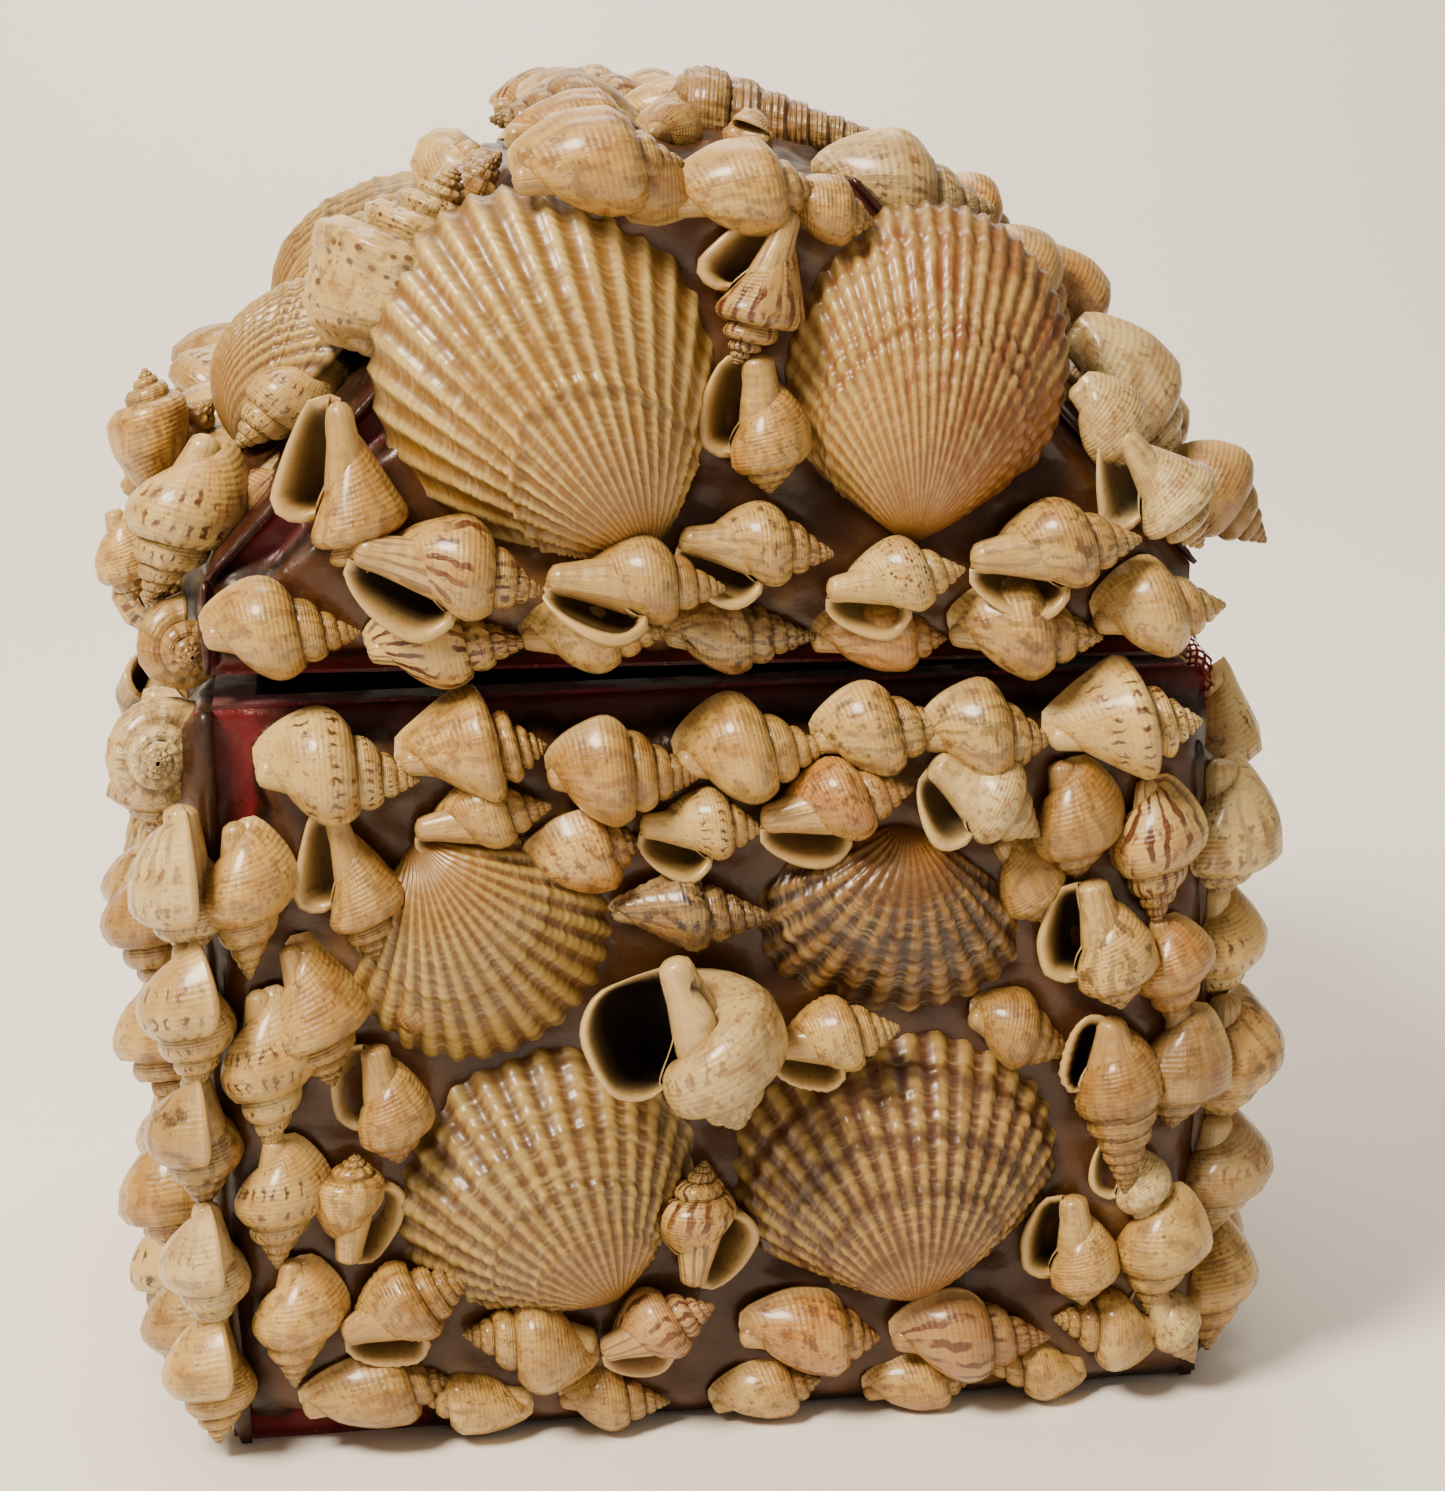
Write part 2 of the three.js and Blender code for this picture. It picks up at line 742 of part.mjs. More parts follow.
// Crest of the lid, a narrow flat with the turret shell lying over its neighbours
const lidTop = faceGroup(0, 0, lidTopWidth, boxDepth, boxDepth / 2, lidBase + lidRise);
addShells(lidTop, [
  whelk("turret_shell", 0.3, 0.27, 26, 7, -8, { kind: "turret", colour: "tan", tip: -12 }),
]);
addBed(
  lidTop,
  "lid_top_bed",
  rectangle(
    -lidTopWidth / 2 + crestMargin,
    lidTopWidth / 2 - crestMargin,
    bedMargin,
    boxDepth - bedMargin,
  ),
  [
    filler(-0.3, 0.09, 16, 9.6, 8),
    filler(-0.4, 0.22, 14, 8.4, 184),
    filler(0.05, 0.41, 16, 8.6, 12),
    filler(-0.1, 0.58, 17, 9, 190),
    filler(0.1, 0.74, 16, 9, 5),
    filler(-0.08, 0.89, 16, 9, -8),
  ],
);
lidFrame.add(lidTop.holder);

// Back end of the lid
const lidBack = faceGroup(180, 90, boxWidth, lidRise, boxDepth / 2, lidBase);
addBed(
  lidBack,
  "lid_back_bed",
  lidOutline(bedMargin).map(([x, y]) => [x, Math.max(y, bedMargin)]),
  [
    { kind: "plainFan", across: 0, up: 0.58, length: 29, width: 31, turn: 90 },
    filler(-0.36, 0.22, 16, 10, 100),
    filler(-0.24, 0.2, 15, 10, 80),
    filler(0.24, 0.2, 15, 10, 98),
    filler(0.37, 0.22, 16, 10, 84),
    filler(-0.24, 0.6, 15, 10, 60),
    filler(0.24, 0.6, 15, 10, 120),
  ],
);
lidFrame.add(lidBack.holder);

// Left, right and back faces of the body
function sideOutline(width) {
  return rectangle(
    -width / 2 + bedMargin,
    width / 2 - bedMargin,
    bedMargin / 2,
    boxHeight - rimBand,
  );
}

const bodyLeft = faceGroup(-90, 90, boxDepth, boxHeight, boxWidth / 2, 0);
addBed(bodyLeft, "body_left_bed", sideOutline(boxDepth), [
  ...rowsOfShells([0.42, 0.285], [0.12, 0.31, 0.5, 0.69, 0.88], 10.8),
  ...fansAt([[0.03, 0.68, 30], [-0.32, 0.74, 27], [0.02, 0.25, 27], [-0.31, 0.27, 30]]),
  ...rowsOfShells([-0.15], [0.5], 10.4),
]);
body.add(bodyLeft.holder);

const bodyRight = faceGroup(90, 90, boxDepth, boxHeight, boxWidth / 2, 0);
addBed(bodyRight, "body_right_bed", sideOutline(boxDepth), [
  ...rowsOfShells([-0.42, -0.29], [0.12, 0.31, 0.5, 0.69], 8.4),
  ...fansAt([[-0.03, 0.58, 25], [0.31, 0.6, 26], [-0.02, 0.21, 24], [0.3, 0.22, 25]]),
  ...rowsOfShells([0.14], [0.42], 8),
]);
body.add(bodyRight.holder);

const bodyBack = faceGroup(180, 90, boxWidth, boxHeight, boxDepth / 2, 0);
addBed(bodyBack, "body_back_bed", sideOutline(boxWidth), [
  ...rowsOfShells([-0.42, -0.25, -0.08, 0.08, 0.25, 0.42], [0.88], rowShellWidth),
  ...fansAt([[-0.28, 0.58, 28], [0.26, 0.57, 30], [-0.22, 0.2, 27], [0.27, 0.19, 26]]),
  ...rowsOfShells([0.02], [0.36], rowShellWidth),
]);
body.add(bodyBack.holder);

export default root;
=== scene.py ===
# %% [markdown]
# # A shell box, piece by piece
# The real thing is a small chest of board, covered in red bookcloth. Sea shells sit on every face,
# pressed into a thick bed of clear glue that has yellowed, and the whole is varnished. The board
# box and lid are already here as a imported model, so the lesson starts by loading them and noting
# how much room they take. Everything added later must stay inside that room.

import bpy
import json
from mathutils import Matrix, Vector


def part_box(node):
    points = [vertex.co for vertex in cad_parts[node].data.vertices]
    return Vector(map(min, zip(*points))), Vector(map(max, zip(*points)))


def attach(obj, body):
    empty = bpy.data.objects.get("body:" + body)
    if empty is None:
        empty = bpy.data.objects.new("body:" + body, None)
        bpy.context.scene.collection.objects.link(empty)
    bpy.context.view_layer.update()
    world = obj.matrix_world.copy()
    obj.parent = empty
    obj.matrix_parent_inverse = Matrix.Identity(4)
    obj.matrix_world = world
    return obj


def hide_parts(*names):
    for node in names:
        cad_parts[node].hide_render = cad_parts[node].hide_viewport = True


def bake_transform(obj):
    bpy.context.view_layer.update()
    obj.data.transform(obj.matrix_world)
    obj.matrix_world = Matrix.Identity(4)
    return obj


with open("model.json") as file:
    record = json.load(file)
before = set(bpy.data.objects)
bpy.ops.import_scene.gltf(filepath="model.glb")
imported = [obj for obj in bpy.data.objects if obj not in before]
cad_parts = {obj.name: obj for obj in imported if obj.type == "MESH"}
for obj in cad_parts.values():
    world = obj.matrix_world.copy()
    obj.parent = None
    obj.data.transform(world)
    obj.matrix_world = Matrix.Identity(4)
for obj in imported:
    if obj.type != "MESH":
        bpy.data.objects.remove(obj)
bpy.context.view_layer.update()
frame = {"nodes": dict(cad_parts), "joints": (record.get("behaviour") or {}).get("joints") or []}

# %% [markdown]
# ## Working units
# A maker thinks of this box in millimetres, while Blender's unit here is the metre. All the sizes
# below are written in millimetres and scaled once, at the moment a mesh is made.

# %% Units and sizes of the carcass
import itertools
import json
import math

import bpy
import numpy as np
from mathutils import Matrix, Vector

MM = 0.001
box_low, box_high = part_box("box_body")
BOX_WIDTH = (box_high.x - box_low.x) / MM
BOX_DEPTH = (box_high.y - box_low.y) / MM
BOX_HEIGHT = box_high.z / MM
LID_RISE = 45
LID_SIDE_RISE = 9
SLOPE_ANGLE = 47
SEAM_GAP = 0.8
AJAR_ANGLE = 1.3
GLUE_TOP = 1.4
PIECE_GAP = 0.3
SLOPE_RUN = (LID_RISE - LID_SIDE_RISE) / math.tan(math.radians(SLOPE_ANGLE))
SLOPE_LENGTH = (LID_RISE - LID_SIDE_RISE) / math.sin(math.radians(SLOPE_ANGLE))
CREST_WIDTH = BOX_WIDTH - 2 * SLOPE_RUN
LID_BASE = BOX_HEIGHT + SEAM_GAP
HINGE = Vector(frame["joints"][0]["pos_m"]) / MM
print("Body", BOX_WIDTH, BOX_DEPTH, BOX_HEIGHT, "crest", round(CREST_WIDTH, 1))

# %% [markdown]
# ## The camera
# The picture was taken from a little left of the middle and a little above, with a long lens, so
# the box shows hardly any perspective. The camera is placed by the way it looks: an angle round
# the box, an angle above the table, a distance and a slight roll, because it was held by hand.

# %% Place the camera
VIEW_AZIMUTH = math.radians(-7.3)
VIEW_ELEVATION = math.radians(13.1)
VIEW_ROLL = math.radians(1.04)
VIEW_DISTANCE = 350
VIEW_TARGET = Vector((7.0, 0, 57.8))
LENS = 78.55
SENSOR = 36


def place_camera():
    back = Vector((
        math.sin(VIEW_AZIMUTH) * math.cos(VIEW_ELEVATION),
        -math.cos(VIEW_AZIMUTH) * math.cos(VIEW_ELEVATION),
        math.sin(VIEW_ELEVATION),
    ))
    data = bpy.data.cameras.new("camera")
    data.lens = LENS
    data.sensor_width = SENSOR
    data.sensor_fit = "HORIZONTAL"
    data.clip_start = 0.01
    data.clip_end = 20
    camera = bpy.data.objects.new("camera", data)
    bpy.context.scene.collection.objects.link(camera)
    camera.location = (VIEW_TARGET + back * VIEW_DISTANCE) * MM
    camera.rotation_mode = "QUATERNION"
    facing = (-back).to_track_quat("-Z", "Y")
    camera.rotation_quaternion = facing @ Matrix.Rotation(-VIEW_ROLL, 4, "Z").to_quaternion()
    bpy.context.scene.camera = camera
    return camera


camera = place_camera()
print("Camera at", [round(v, 3) for v in camera.location])

# %% [markdown]
# ## Nodes without the typing
# A material is a small network. Each box in it is made the same way: choose its kind, set a few
# values and join a few wires. One helper does that, and the others cover the steps that come back
# all the time: mixing two colours, a bit of arithmetic, stretching a value between two limits,
# adding noise and reading a number that the mesh carries.

# %% Helpers for building materials


def node(tree, kind, values=None, **settings):
    made = tree.nodes.new("ShaderNode" + kind)
    for key, value in settings.items():
        setattr(made, key, value)
    for socket, value in (values or {}).items():
        target = made.inputs[socket]
        if isinstance(value, bpy.types.NodeSocket):
            tree.links.new(value, target)
        else:
            target.default_value = value
    return made


def ink(red, green, blue):
    """A colour as a painter reads it off a chart, 0 to 255, turned into light."""
    values = [channel / 255 for channel in (red, green, blue)]
    return [v / 12.92 if v <= 0.04045 else ((v + 0.055) / 1.055) ** 2.4 for v in values] + [1]


def mixed(tree, share, first, second):
    return node(tree, "Mix", {0: share, 6: first, 7: second}, data_type="RGBA").outputs[2]


def reckoned(tree, how, first, second=0.0):
    return node(tree, "Math", {0: first, 1: second}, operation=how).outputs[0]


def times(tree, first, second):
    return reckoned(tree, "MULTIPLY", first, second)


def plus(tree, first, second):
    return reckoned(tree, "ADD", first, second)


def stretched(tree, value, low, high, to_low=0.0, to_high=1.0):
    values = {"Value": value, 1: low, 2: high, 3: to_low, 4: to_high}
    made = node(tree, "MapRange", values, interpolation_type="SMOOTHSTEP")
    return made.outputs[0]


def noise(tree, vector, scale, detail=3.0, rough=0.55):
    values = {"Vector": vector, "Scale": scale, "Detail": detail, "Roughness": rough}
    return node(tree, "TexNoise", values).outputs[0]


def mark(tree, name, output="Fac"):
    return node(tree, "Attribute", attribute_name=name).outputs[output]


print("Helpers ready")

# %% [markdown]
# ## Effects that several finishes share
# Dirt settles where two surfaces meet, whatever they are made of, and the same darkening is painted
# shade there too. Fine unevenness catches the light on shell and glue alike. Such effects are node
# groups: built once, with named inputs, and placed in each material with its own values.

# %% Make a node group with named sockets
SOCKETS = {"value": "NodeSocketFloat", "colour": "NodeSocketColor", "vector": "NodeSocketVector"}


def new_group(name, inputs, outputs):
    tree = bpy.data.node_groups.new(name, "ShaderNodeTree")
    for title, kind in inputs.items():
        tree.interface.new_socket(title, in_out="INPUT", socket_type=SOCKETS[kind])
    for title, kind in outputs.items():
        tree.interface.new_socket(title, in_out="OUTPUT", socket_type=SOCKETS[kind])
    start = tree.nodes.new("NodeGroupInput")
    end = tree.nodes.new("NodeGroupOutput")
    return tree, start.outputs, end.inputs


def placed_group(tree, group, values):
    made = tree.nodes.new("ShaderNodeGroup")
    made.node_tree = group
    for socket, value in values.items():
        if isinstance(value, bpy.types.NodeSocket):
            tree.links.new(value, made.inputs[socket])
        else:
            made.inputs[socket].default_value = value
    return made.outputs


print("A group takes sockets of these kinds:", list(SOCKETS))


# %% [markdown]
# The crevice darkening comes first, settled dirt and painted shade in one. It darkens a colour in
# the crevices, and noise breaks it up, since real dirt never fills a seam evenly.

# %% Settled dirt and painted shade
def dirt_and_shade_group():
    inputs = {"Colour": "colour", "Dirt and shade": "colour", "Crevice": "value", "Amount": "value"}
    tree, given, out = new_group("settled dirt", inputs, {"Colour": "colour"})
    place = node(tree, "TexCoord").outputs["Object"]
    broken = stretched(tree, noise(tree, place, 900.0, 4.0), 0.3, 0.7, 0.45, 1.0)
    # The crevice share darkens the colour: settled dirt and painted shade together.
    share = times(tree, given["Crevice"], broken)
    share = times(tree, share, given["Amount"])
    share = node(tree, "Clamp", {0: share}).outputs[0]
    tree.links.new(mixed(tree, share, given["Colour"], given["Dirt and shade"]), out["Colour"])
    return tree


DIRT_AND_SHADE = dirt_and_shade_group()
print("Settled dirt on", len(DIRT_AND_SHADE.nodes), "nodes")

# %% [markdown]
# Next come broad soft patches and tiny specks. Both are only masks: each material decides what
# colour or roughness they bring.


# %% Dust and stains
def stain_group():
    inputs = {"Patch size": "value", "Speck size": "value"}
    tree, given, out = new_group("dust and stains", inputs, {"Patches": "value", "Specks": "value"})
    place = node(tree, "TexCoord").outputs["Object"]
    patches = noise(tree, place, given["Patch size"], 4.0, 0.6)
    tree.links.new(stretched(tree, patches, 0.42, 0.68), out["Patches"])
    specks = noise(tree, place, given["Speck size"], 2.0, 0.5)
    tree.links.new(stretched(tree, specks, 0.62, 0.68), out["Specks"])
    return tree


DUST_AND_STAINS = stain_group()
print("Dust and stains on", len(DUST_AND_STAINS.nodes), "nodes")

# %% [markdown]
# The last effect is the brown marks that follow a whorled shell as it grows: flames that run
# across the whorl, rows of dashes, round dots and cloudy smudges. Each has a strength of its own.

# %% Growth pattern
# Each row of dashes: how far across the whorl it runs, and how wide it is.
DASH_ROWS = [(0.07, 0.06), (0.25, 0.08), (0.5, 0.09)]


def pattern_group():
    inputs = {"Whorl": "vector", "Flames": "value", "Dashes": "value", "Dots": "value", "Smudges": "value"}
    tree, given, out = new_group("growth pattern", inputs, {"Marks": "value"})
    whorl = given["Whorl"]
    parts = node(tree, "SeparateXYZ", {0: whorl}).outputs
    flame = node(tree, "TexWave", {
        "Vector": whorl, "Scale": 1.9, "Distortion": 5.5, "Detail": 2.0, "Detail Scale": 1.6,
    }, bands_direction="X").outputs["Fac"]
    flame = stretched(tree, flame, 0.62, 0.82)
    here = stretched(tree, noise(tree, whorl, 2.6, 2.0), 0.4, 0.52)
    flame = times(tree, times(tree, flame, here), given["Flames"])
    warp = times(tree, noise(tree, whorl, 9.0, 3.0), 11.0)
    beat = reckoned(tree, "SINE", plus(tree, times(tree, parts[0], 60.0), warp))
    beat = stretched(tree, beat, 0.15, 0.9)
    drift = times(tree, reckoned(tree, "SUBTRACT", noise(tree, whorl, 11.0, 3.0), 0.5), 0.16)
    rows = 0.0
    for place, width in DASH_ROWS:
        off = reckoned(tree, "SUBTRACT", plus(tree, parts[1], drift), place)
        row = stretched(tree, reckoned(tree, "ABSOLUTE", off), width, width * 0.3)
        rows = reckoned(tree, "MAXIMUM", rows, row)
    some = stretched(tree, noise(tree, whorl, 3.1, 2.0), 0.38, 0.5)
    dash = times(tree, times(tree, beat, rows), some)
    dash = times(tree, dash, given["Dashes"])
    cell = node(tree, "TexVoronoi", {"Vector": whorl, "Scale": 13.0}).outputs["Distance"]
    dot = stretched(tree, cell, 0.36, 0.2)
    there = stretched(tree, noise(tree, whorl, 1.9, 1.0), 0.4, 0.52)
    dot = times(tree, times(tree, dot, there), given["Dots"])
    smudge = stretched(tree, noise(tree, whorl, 6.0, 4.0, 0.6), 0.5, 0.64)
    smudge = times(tree, smudge, given["Smudges"])
    marks = reckoned(tree, "MAXIMUM", reckoned(tree, "MAXIMUM", flame, dot), smudge)
    tree.links.new(reckoned(tree, "MAXIMUM", marks, dash), out["Marks"])
    return tree


GROWTH_PATTERN = pattern_group()
print("Shared effects:", [g.name for g in bpy.data.node_groups])

# %% [markdown]
# ## Red bookcloth
# The carcass is covered in a thin woven cloth, glued flat. Two sets of fine waves, one along each
# direction of the thread, give the weave. The cloth is darker and browner where glue has soaked
# in, and it has faded where it was handled.


# %% The cloth on the carcass
def new_material(name):
    made = bpy.data.materials.new(name)
    made.use_nodes = True
    tree = made.node_tree
    shader = tree.nodes["Principled BSDF"]
    return made, tree, shader


def set_values(shader, values):
    for socket, value in values.items():
        shader.inputs[socket].default_value = value


def bumped(tree, shader, height, strength, distance):
    bump = node(tree, "Bump", {"Height": height, "Strength": strength, "Distance": distance})
    tree.links.new(bump.outputs[0], shader.inputs["Normal"])


THREAD_PITCH = 0.42


def bookcloth():
    made, tree, shader = new_material("red bookcloth")
    place = node(tree, "TexCoord").outputs["Object"]
    axes = node(tree, "SeparateXYZ", {0: place}).outputs
    pitch = 2 * math.pi / (THREAD_PITCH * MM)
    threads = 0.0
    for axis in axes:
        wave = reckoned(tree, "ABSOLUTE", reckoned(tree, "SINE", times(tree, axis, pitch)))
        threads = plus(tree, threads, wave)
    stains = placed_group(tree, DUST_AND_STAINS, {"Patch size": 90.0, "Speck size": 1500.0})
    red = mixed(tree, stains["Patches"], ink(92, 12, 26), ink(128, 26, 42))
    soaked = stretched(tree, noise(tree, place, 110.0, 4.0), 0.42, 0.6)
    red = mixed(tree, times(tree, soaked, 0.8), red, ink(58, 26, 14))
    red = mixed(tree, times(tree, stains["Specks"], 0.3), red, ink(176, 110, 96))
    tree.links.new(red, shader.inputs["Base Color"])
    tree.links.new(stretched(tree, soaked, 0.0, 1.0, 0.8, 0.3), shader.inputs["Roughness"])
    set_values(shader, {"Sheen Weight": 0.15})
    bumped(tree, shader, threads, 0.35, 0.1 * MM)
    return made


RED_CLOTH = bookcloth()
for name in ("box_body", "lid"):
    carcass = frame["nodes"][name]
    carcass.data.materials.clear()
    carcass.data.materials.append(RED_CLOTH)
print("Bookcloth on", len(RED_CLOTH.node_tree.nodes), "nodes")

# %% [markdown]
# ## Shell finishes
# All the shells were varnished, so they share a clear coat over a chalky, slightly uneven body.
# What differs is the ground colour and the marks: flames, dashes, dots or smudges. The marks read
# what the mesh carries on each point: how far along the whorl it is and how far across it, so
# that they grow with the shell instead of lying over it like a print. A third number is the
# shell's own, so that no two shells of a finish are marked alike.

# %% One recipe for the whorled shells
# Painted shade deep inside a shell's mouth and in the moon shell's slit.
MOUTH_SHADE = ink(30, 16, 8)
# Dirt and painted shade for the seams between whorls and round every shell.
SEAM_DIRT_AND_SHADE = ink(64, 36, 14)
PALE_GROWTH = ink(216, 190, 134)
AGED_BROWN = ink(126, 92, 44)
STAIN_BROWN = ink(140, 90, 34)
SPECK_BROWN = ink(92, 56, 24)
LIP_CREAM = ink(204, 172, 112)
SPIRAL_THREADS = 130.0
AXIAL_FOLDS = 29.0


def shell_finish(name, ground, second, marks, dirt_and_shade=0.9, **pattern):
    made, tree, shader = new_material(name)
    whorl = mark(tree, "whorl", "Vector")
    lines = node(tree, "VectorMath", {0: whorl, 1: (26.0, 1.4, 1.0)}, operation="MULTIPLY").outputs[0]
    growth = noise(tree, lines, 1.0, 2.0)
    broad = stretched(tree, noise(tree, whorl, 1.3, 2.0), 0.35, 0.65)
    colour = mixed(tree, broad, ink(*ground), ink(*second))
    paler = stretched(tree, growth, 0.35, 0.8, 0.0, 0.3)
    colour = mixed(tree, paler, colour, PALE_GROWTH)
    own = node(tree, "VectorMath", {0: whorl, 1: (0.0, 0.0, 1.0)}, operation="MULTIPLY").outputs[0]
    aged = stretched(tree, noise(tree, own, 5.3, 1.0), 0.42, 0.62, 0.0, 0.5)
    colour = mixed(tree, aged, colour, AGED_BROWN)
    values = {"Whorl": whorl, "Flames": 0.0, "Dashes": 0.0, "Dots": 0.0, "Smudges": 0.0}
    marked = placed_group(tree, GROWTH_PATTERN, {**values, **pattern})
    colour = mixed(tree, marked["Marks"], colour, ink(*marks))
    stains = placed_group(tree, DUST_AND_STAINS, {"Patch size": 260.0, "Speck size": 1700.0})
    colour = mixed(tree, times(tree, stains["Patches"], 0.5), colour, STAIN_BROWN)
    colour = mixed(tree, times(tree, stains["Specks"], 0.55), colour, SPECK_BROWN)
    colour = mixed(tree, mark(tree, "lip"), colour, LIP_CREAM)
    # The crevice mark darkens the seams: settled dirt, and painted shade where the surfaces meet.
    dirty_and_shaded = placed_group(tree, DIRT_AND_SHADE, {
        "Colour": colour, "Dirt and shade": SEAM_DIRT_AND_SHADE, "Crevice": mark(tree, "crevice"), "Amount": dirt_and_shade,
    })
    # Painted shade: the deep rings of the mouth and the slit by the pillar turn dark.
    colour = mixed(tree, mark(tree, "deep"), dirty_and_shaded["Colour"], MOUTH_SHADE)
    tree.links.new(colour, shader.inputs["Base Color"])
    tree.links.new(stretched(tree, growth, 0.2, 0.8, 0.5, 0.34), shader.inputs["Roughness"])
    set_values(shader, {"Coat Weight": 0.5, "Coat Roughness": 0.16, "Specular IOR Level": 0.45})
    along, side, _ = node(tree, "SeparateXYZ", {0: whorl}).outputs
    thread = reckoned(tree, "SINE", times(tree, side, SPIRAL_THREADS))
    fold = reckoned(tree, "SINE", times(tree, along, AXIAL_FOLDS))
    fold = times(tree, fold, stretched(tree, side, 0.36, 0.12))
    uneven = plus(tree, growth, times(tree, thread, 0.15))
    uneven = plus(tree, uneven, times(tree, fold, 0.7))
    pits = noise(tree, node(tree, "TexCoord").outputs["Object"], 900.0, 5.0, 0.6)
    bumped(tree, shader, plus(tree, uneven, pits), 0.6, 0.22 * MM)
    return made


FINISHES = {
    "plain": shell_finish("cream shell", (194, 150, 73), (206, 170, 94), (95, 51, 17), Smudges=0.5, Dots=0.5),
    "flamed": shell_finish(
        "flamed shell", (200, 157, 81), (209, 175, 105), (86, 41, 12), Flames=1.0, Dashes=0.7,
    ),
    "dashed": shell_finish("dashed shell", (200, 160, 84), (211, 179, 108), (74, 34, 12), Dashes=0.95),
    "dotted": shell_finish(
        "dotted shell", (198, 160, 88), (209, 177, 110), (59, 27, 9), Dots=0.9, Dashes=0.5,
    ),
    "speckled": shell_finish(
        "speckled shell", (189, 148, 76), (201, 166, 94), (50, 25, 9), Flames=0.5, Smudges=0.8,
    ),
    "ivory": shell_finish(
        "ivory shell", (207, 176, 112), (216, 192, 133), (106, 60, 27), Smudges=0.5, Dashes=0.6,
    ),
    "waxy": shell_finish("waxy shell", (181, 136, 59), (196, 157, 80), (95, 51, 17), Smudges=0.6, Flames=0.4),
    "tan": shell_finish(
        "tan shell", (184, 124, 49), (199, 154, 80), (104, 50, 14), Flames=0.5, Smudges=0.5,
    ),
    "orange": shell_finish(
        "orange shell", (186, 123, 49), (207, 164, 90), (85, 33, 7), Dots=0.6, Smudges=0.8,
    ),
    "pink": shell_finish("pink shell", (184, 127, 73), (199, 157, 97), (90, 41, 20), Flames=0.9),
    "dark": shell_finish(
        "dark shell", (140, 106, 55), (180, 147, 86), (33, 19, 9), Smudges=1.0, Flames=0.6, dirt_and_shade=1.08,
    ),
    "grey": shell_finish("grey shell", (136, 100, 49), (163, 130, 72), (51, 30, 12), Smudges=0.5, dirt_and_shade=1.2),
    "violet": shell_finish(
        "violet shell", (203, 173, 109), (213, 187, 129), (77, 31, 28), Dots=0.7, Flames=0.4, Dashes=0.7,
    ),
}
print(len(FINISHES), "shell finishes")

# %% [markdown]
# ## Fan shell finishes
# A fan shell is coloured along its ribs and across its growth rings: the crests are pale and
# polished, the furrows darker brown, and each pause in growth leaves a darker arc. The mesh
# carries the height of the rib and the distance from the beak, and the colours follow those.


# %% One recipe for the fan shells
def fan_finish(name, crest, furrow, stain, stain_share, arcs, arc_colour, leaning=0.0):
    made, tree, shader = new_material(name)
    rib = mark(tree, "rib")
    reach = mark(tree, "reach")
    fan = mark(tree, "fan", "Vector")
    # Colour follows the rib height: darker in the furrows, paler on the crests and beads.
    colour = mixed(tree, stretched(tree, rib, 0.05, 0.8), ink(*furrow), ink(*crest))
    rings = node(tree, "VectorMath", {0: fan, 1: (1.5, 34.0, 1.0)}, operation="MULTIPLY").outputs[0]
    ring = noise(tree, rings, 1.0, 3.0)
    colour = mixed(tree, stretched(tree, ring, 0.4, 0.8, 0.0, 0.35), colour, ink(214, 186, 126))
    across = node(tree, "SeparateXYZ", {0: fan}).outputs[0]
    lean = times(tree, across, leaning)
    patch = plus(tree, noise(tree, fan, 3.4, 4.0, 0.62), lean)
    patch = stretched(tree, patch, 0.46, 0.66)
    colour = mixed(tree, times(tree, patch, stain_share), colour, ink(*stain))
    wobble = times(tree, noise(tree, fan, 2.5, 3.0), 0.14)
    at = reckoned(tree, "SUBTRACT", plus(tree, reach, wobble), 0.07)
    for place, width, strength in arcs:
        off = reckoned(tree, "ABSOLUTE", reckoned(tree, "SUBTRACT", at, place))
        share = stretched(tree, off, width, width * 0.25, 0.0, strength)
        colour = mixed(tree, share, colour, ink(*arc_colour))
    beak = stretched(tree, reach, 0.55, 0.1, 0.0, 0.5)
    colour = mixed(tree, beak, colour, ink(150, 98, 38))
    # The fan's rim, sides and beak get the crevice darkening: dirt and painted shade where it meets the glue.
    dirty_and_shaded = placed_group(tree, DIRT_AND_SHADE, {
        "Colour": colour, "Dirt and shade": SEAM_DIRT_AND_SHADE, "Crevice": mark(tree, "crevice"), "Amount": 0.75,
    })
    tree.links.new(dirty_and_shaded["Colour"], shader.inputs["Base Color"])
    tree.links.new(stretched(tree, ring, 0.2, 0.8, 0.55, 0.38), shader.inputs["Roughness"])
    set_values(shader, {"Coat Weight": 0.4, "Coat Roughness": 0.2, "Specular IOR Level": 0.45})
    bumped(tree, shader, ring, 0.3, 0.1 * MM)
    return made


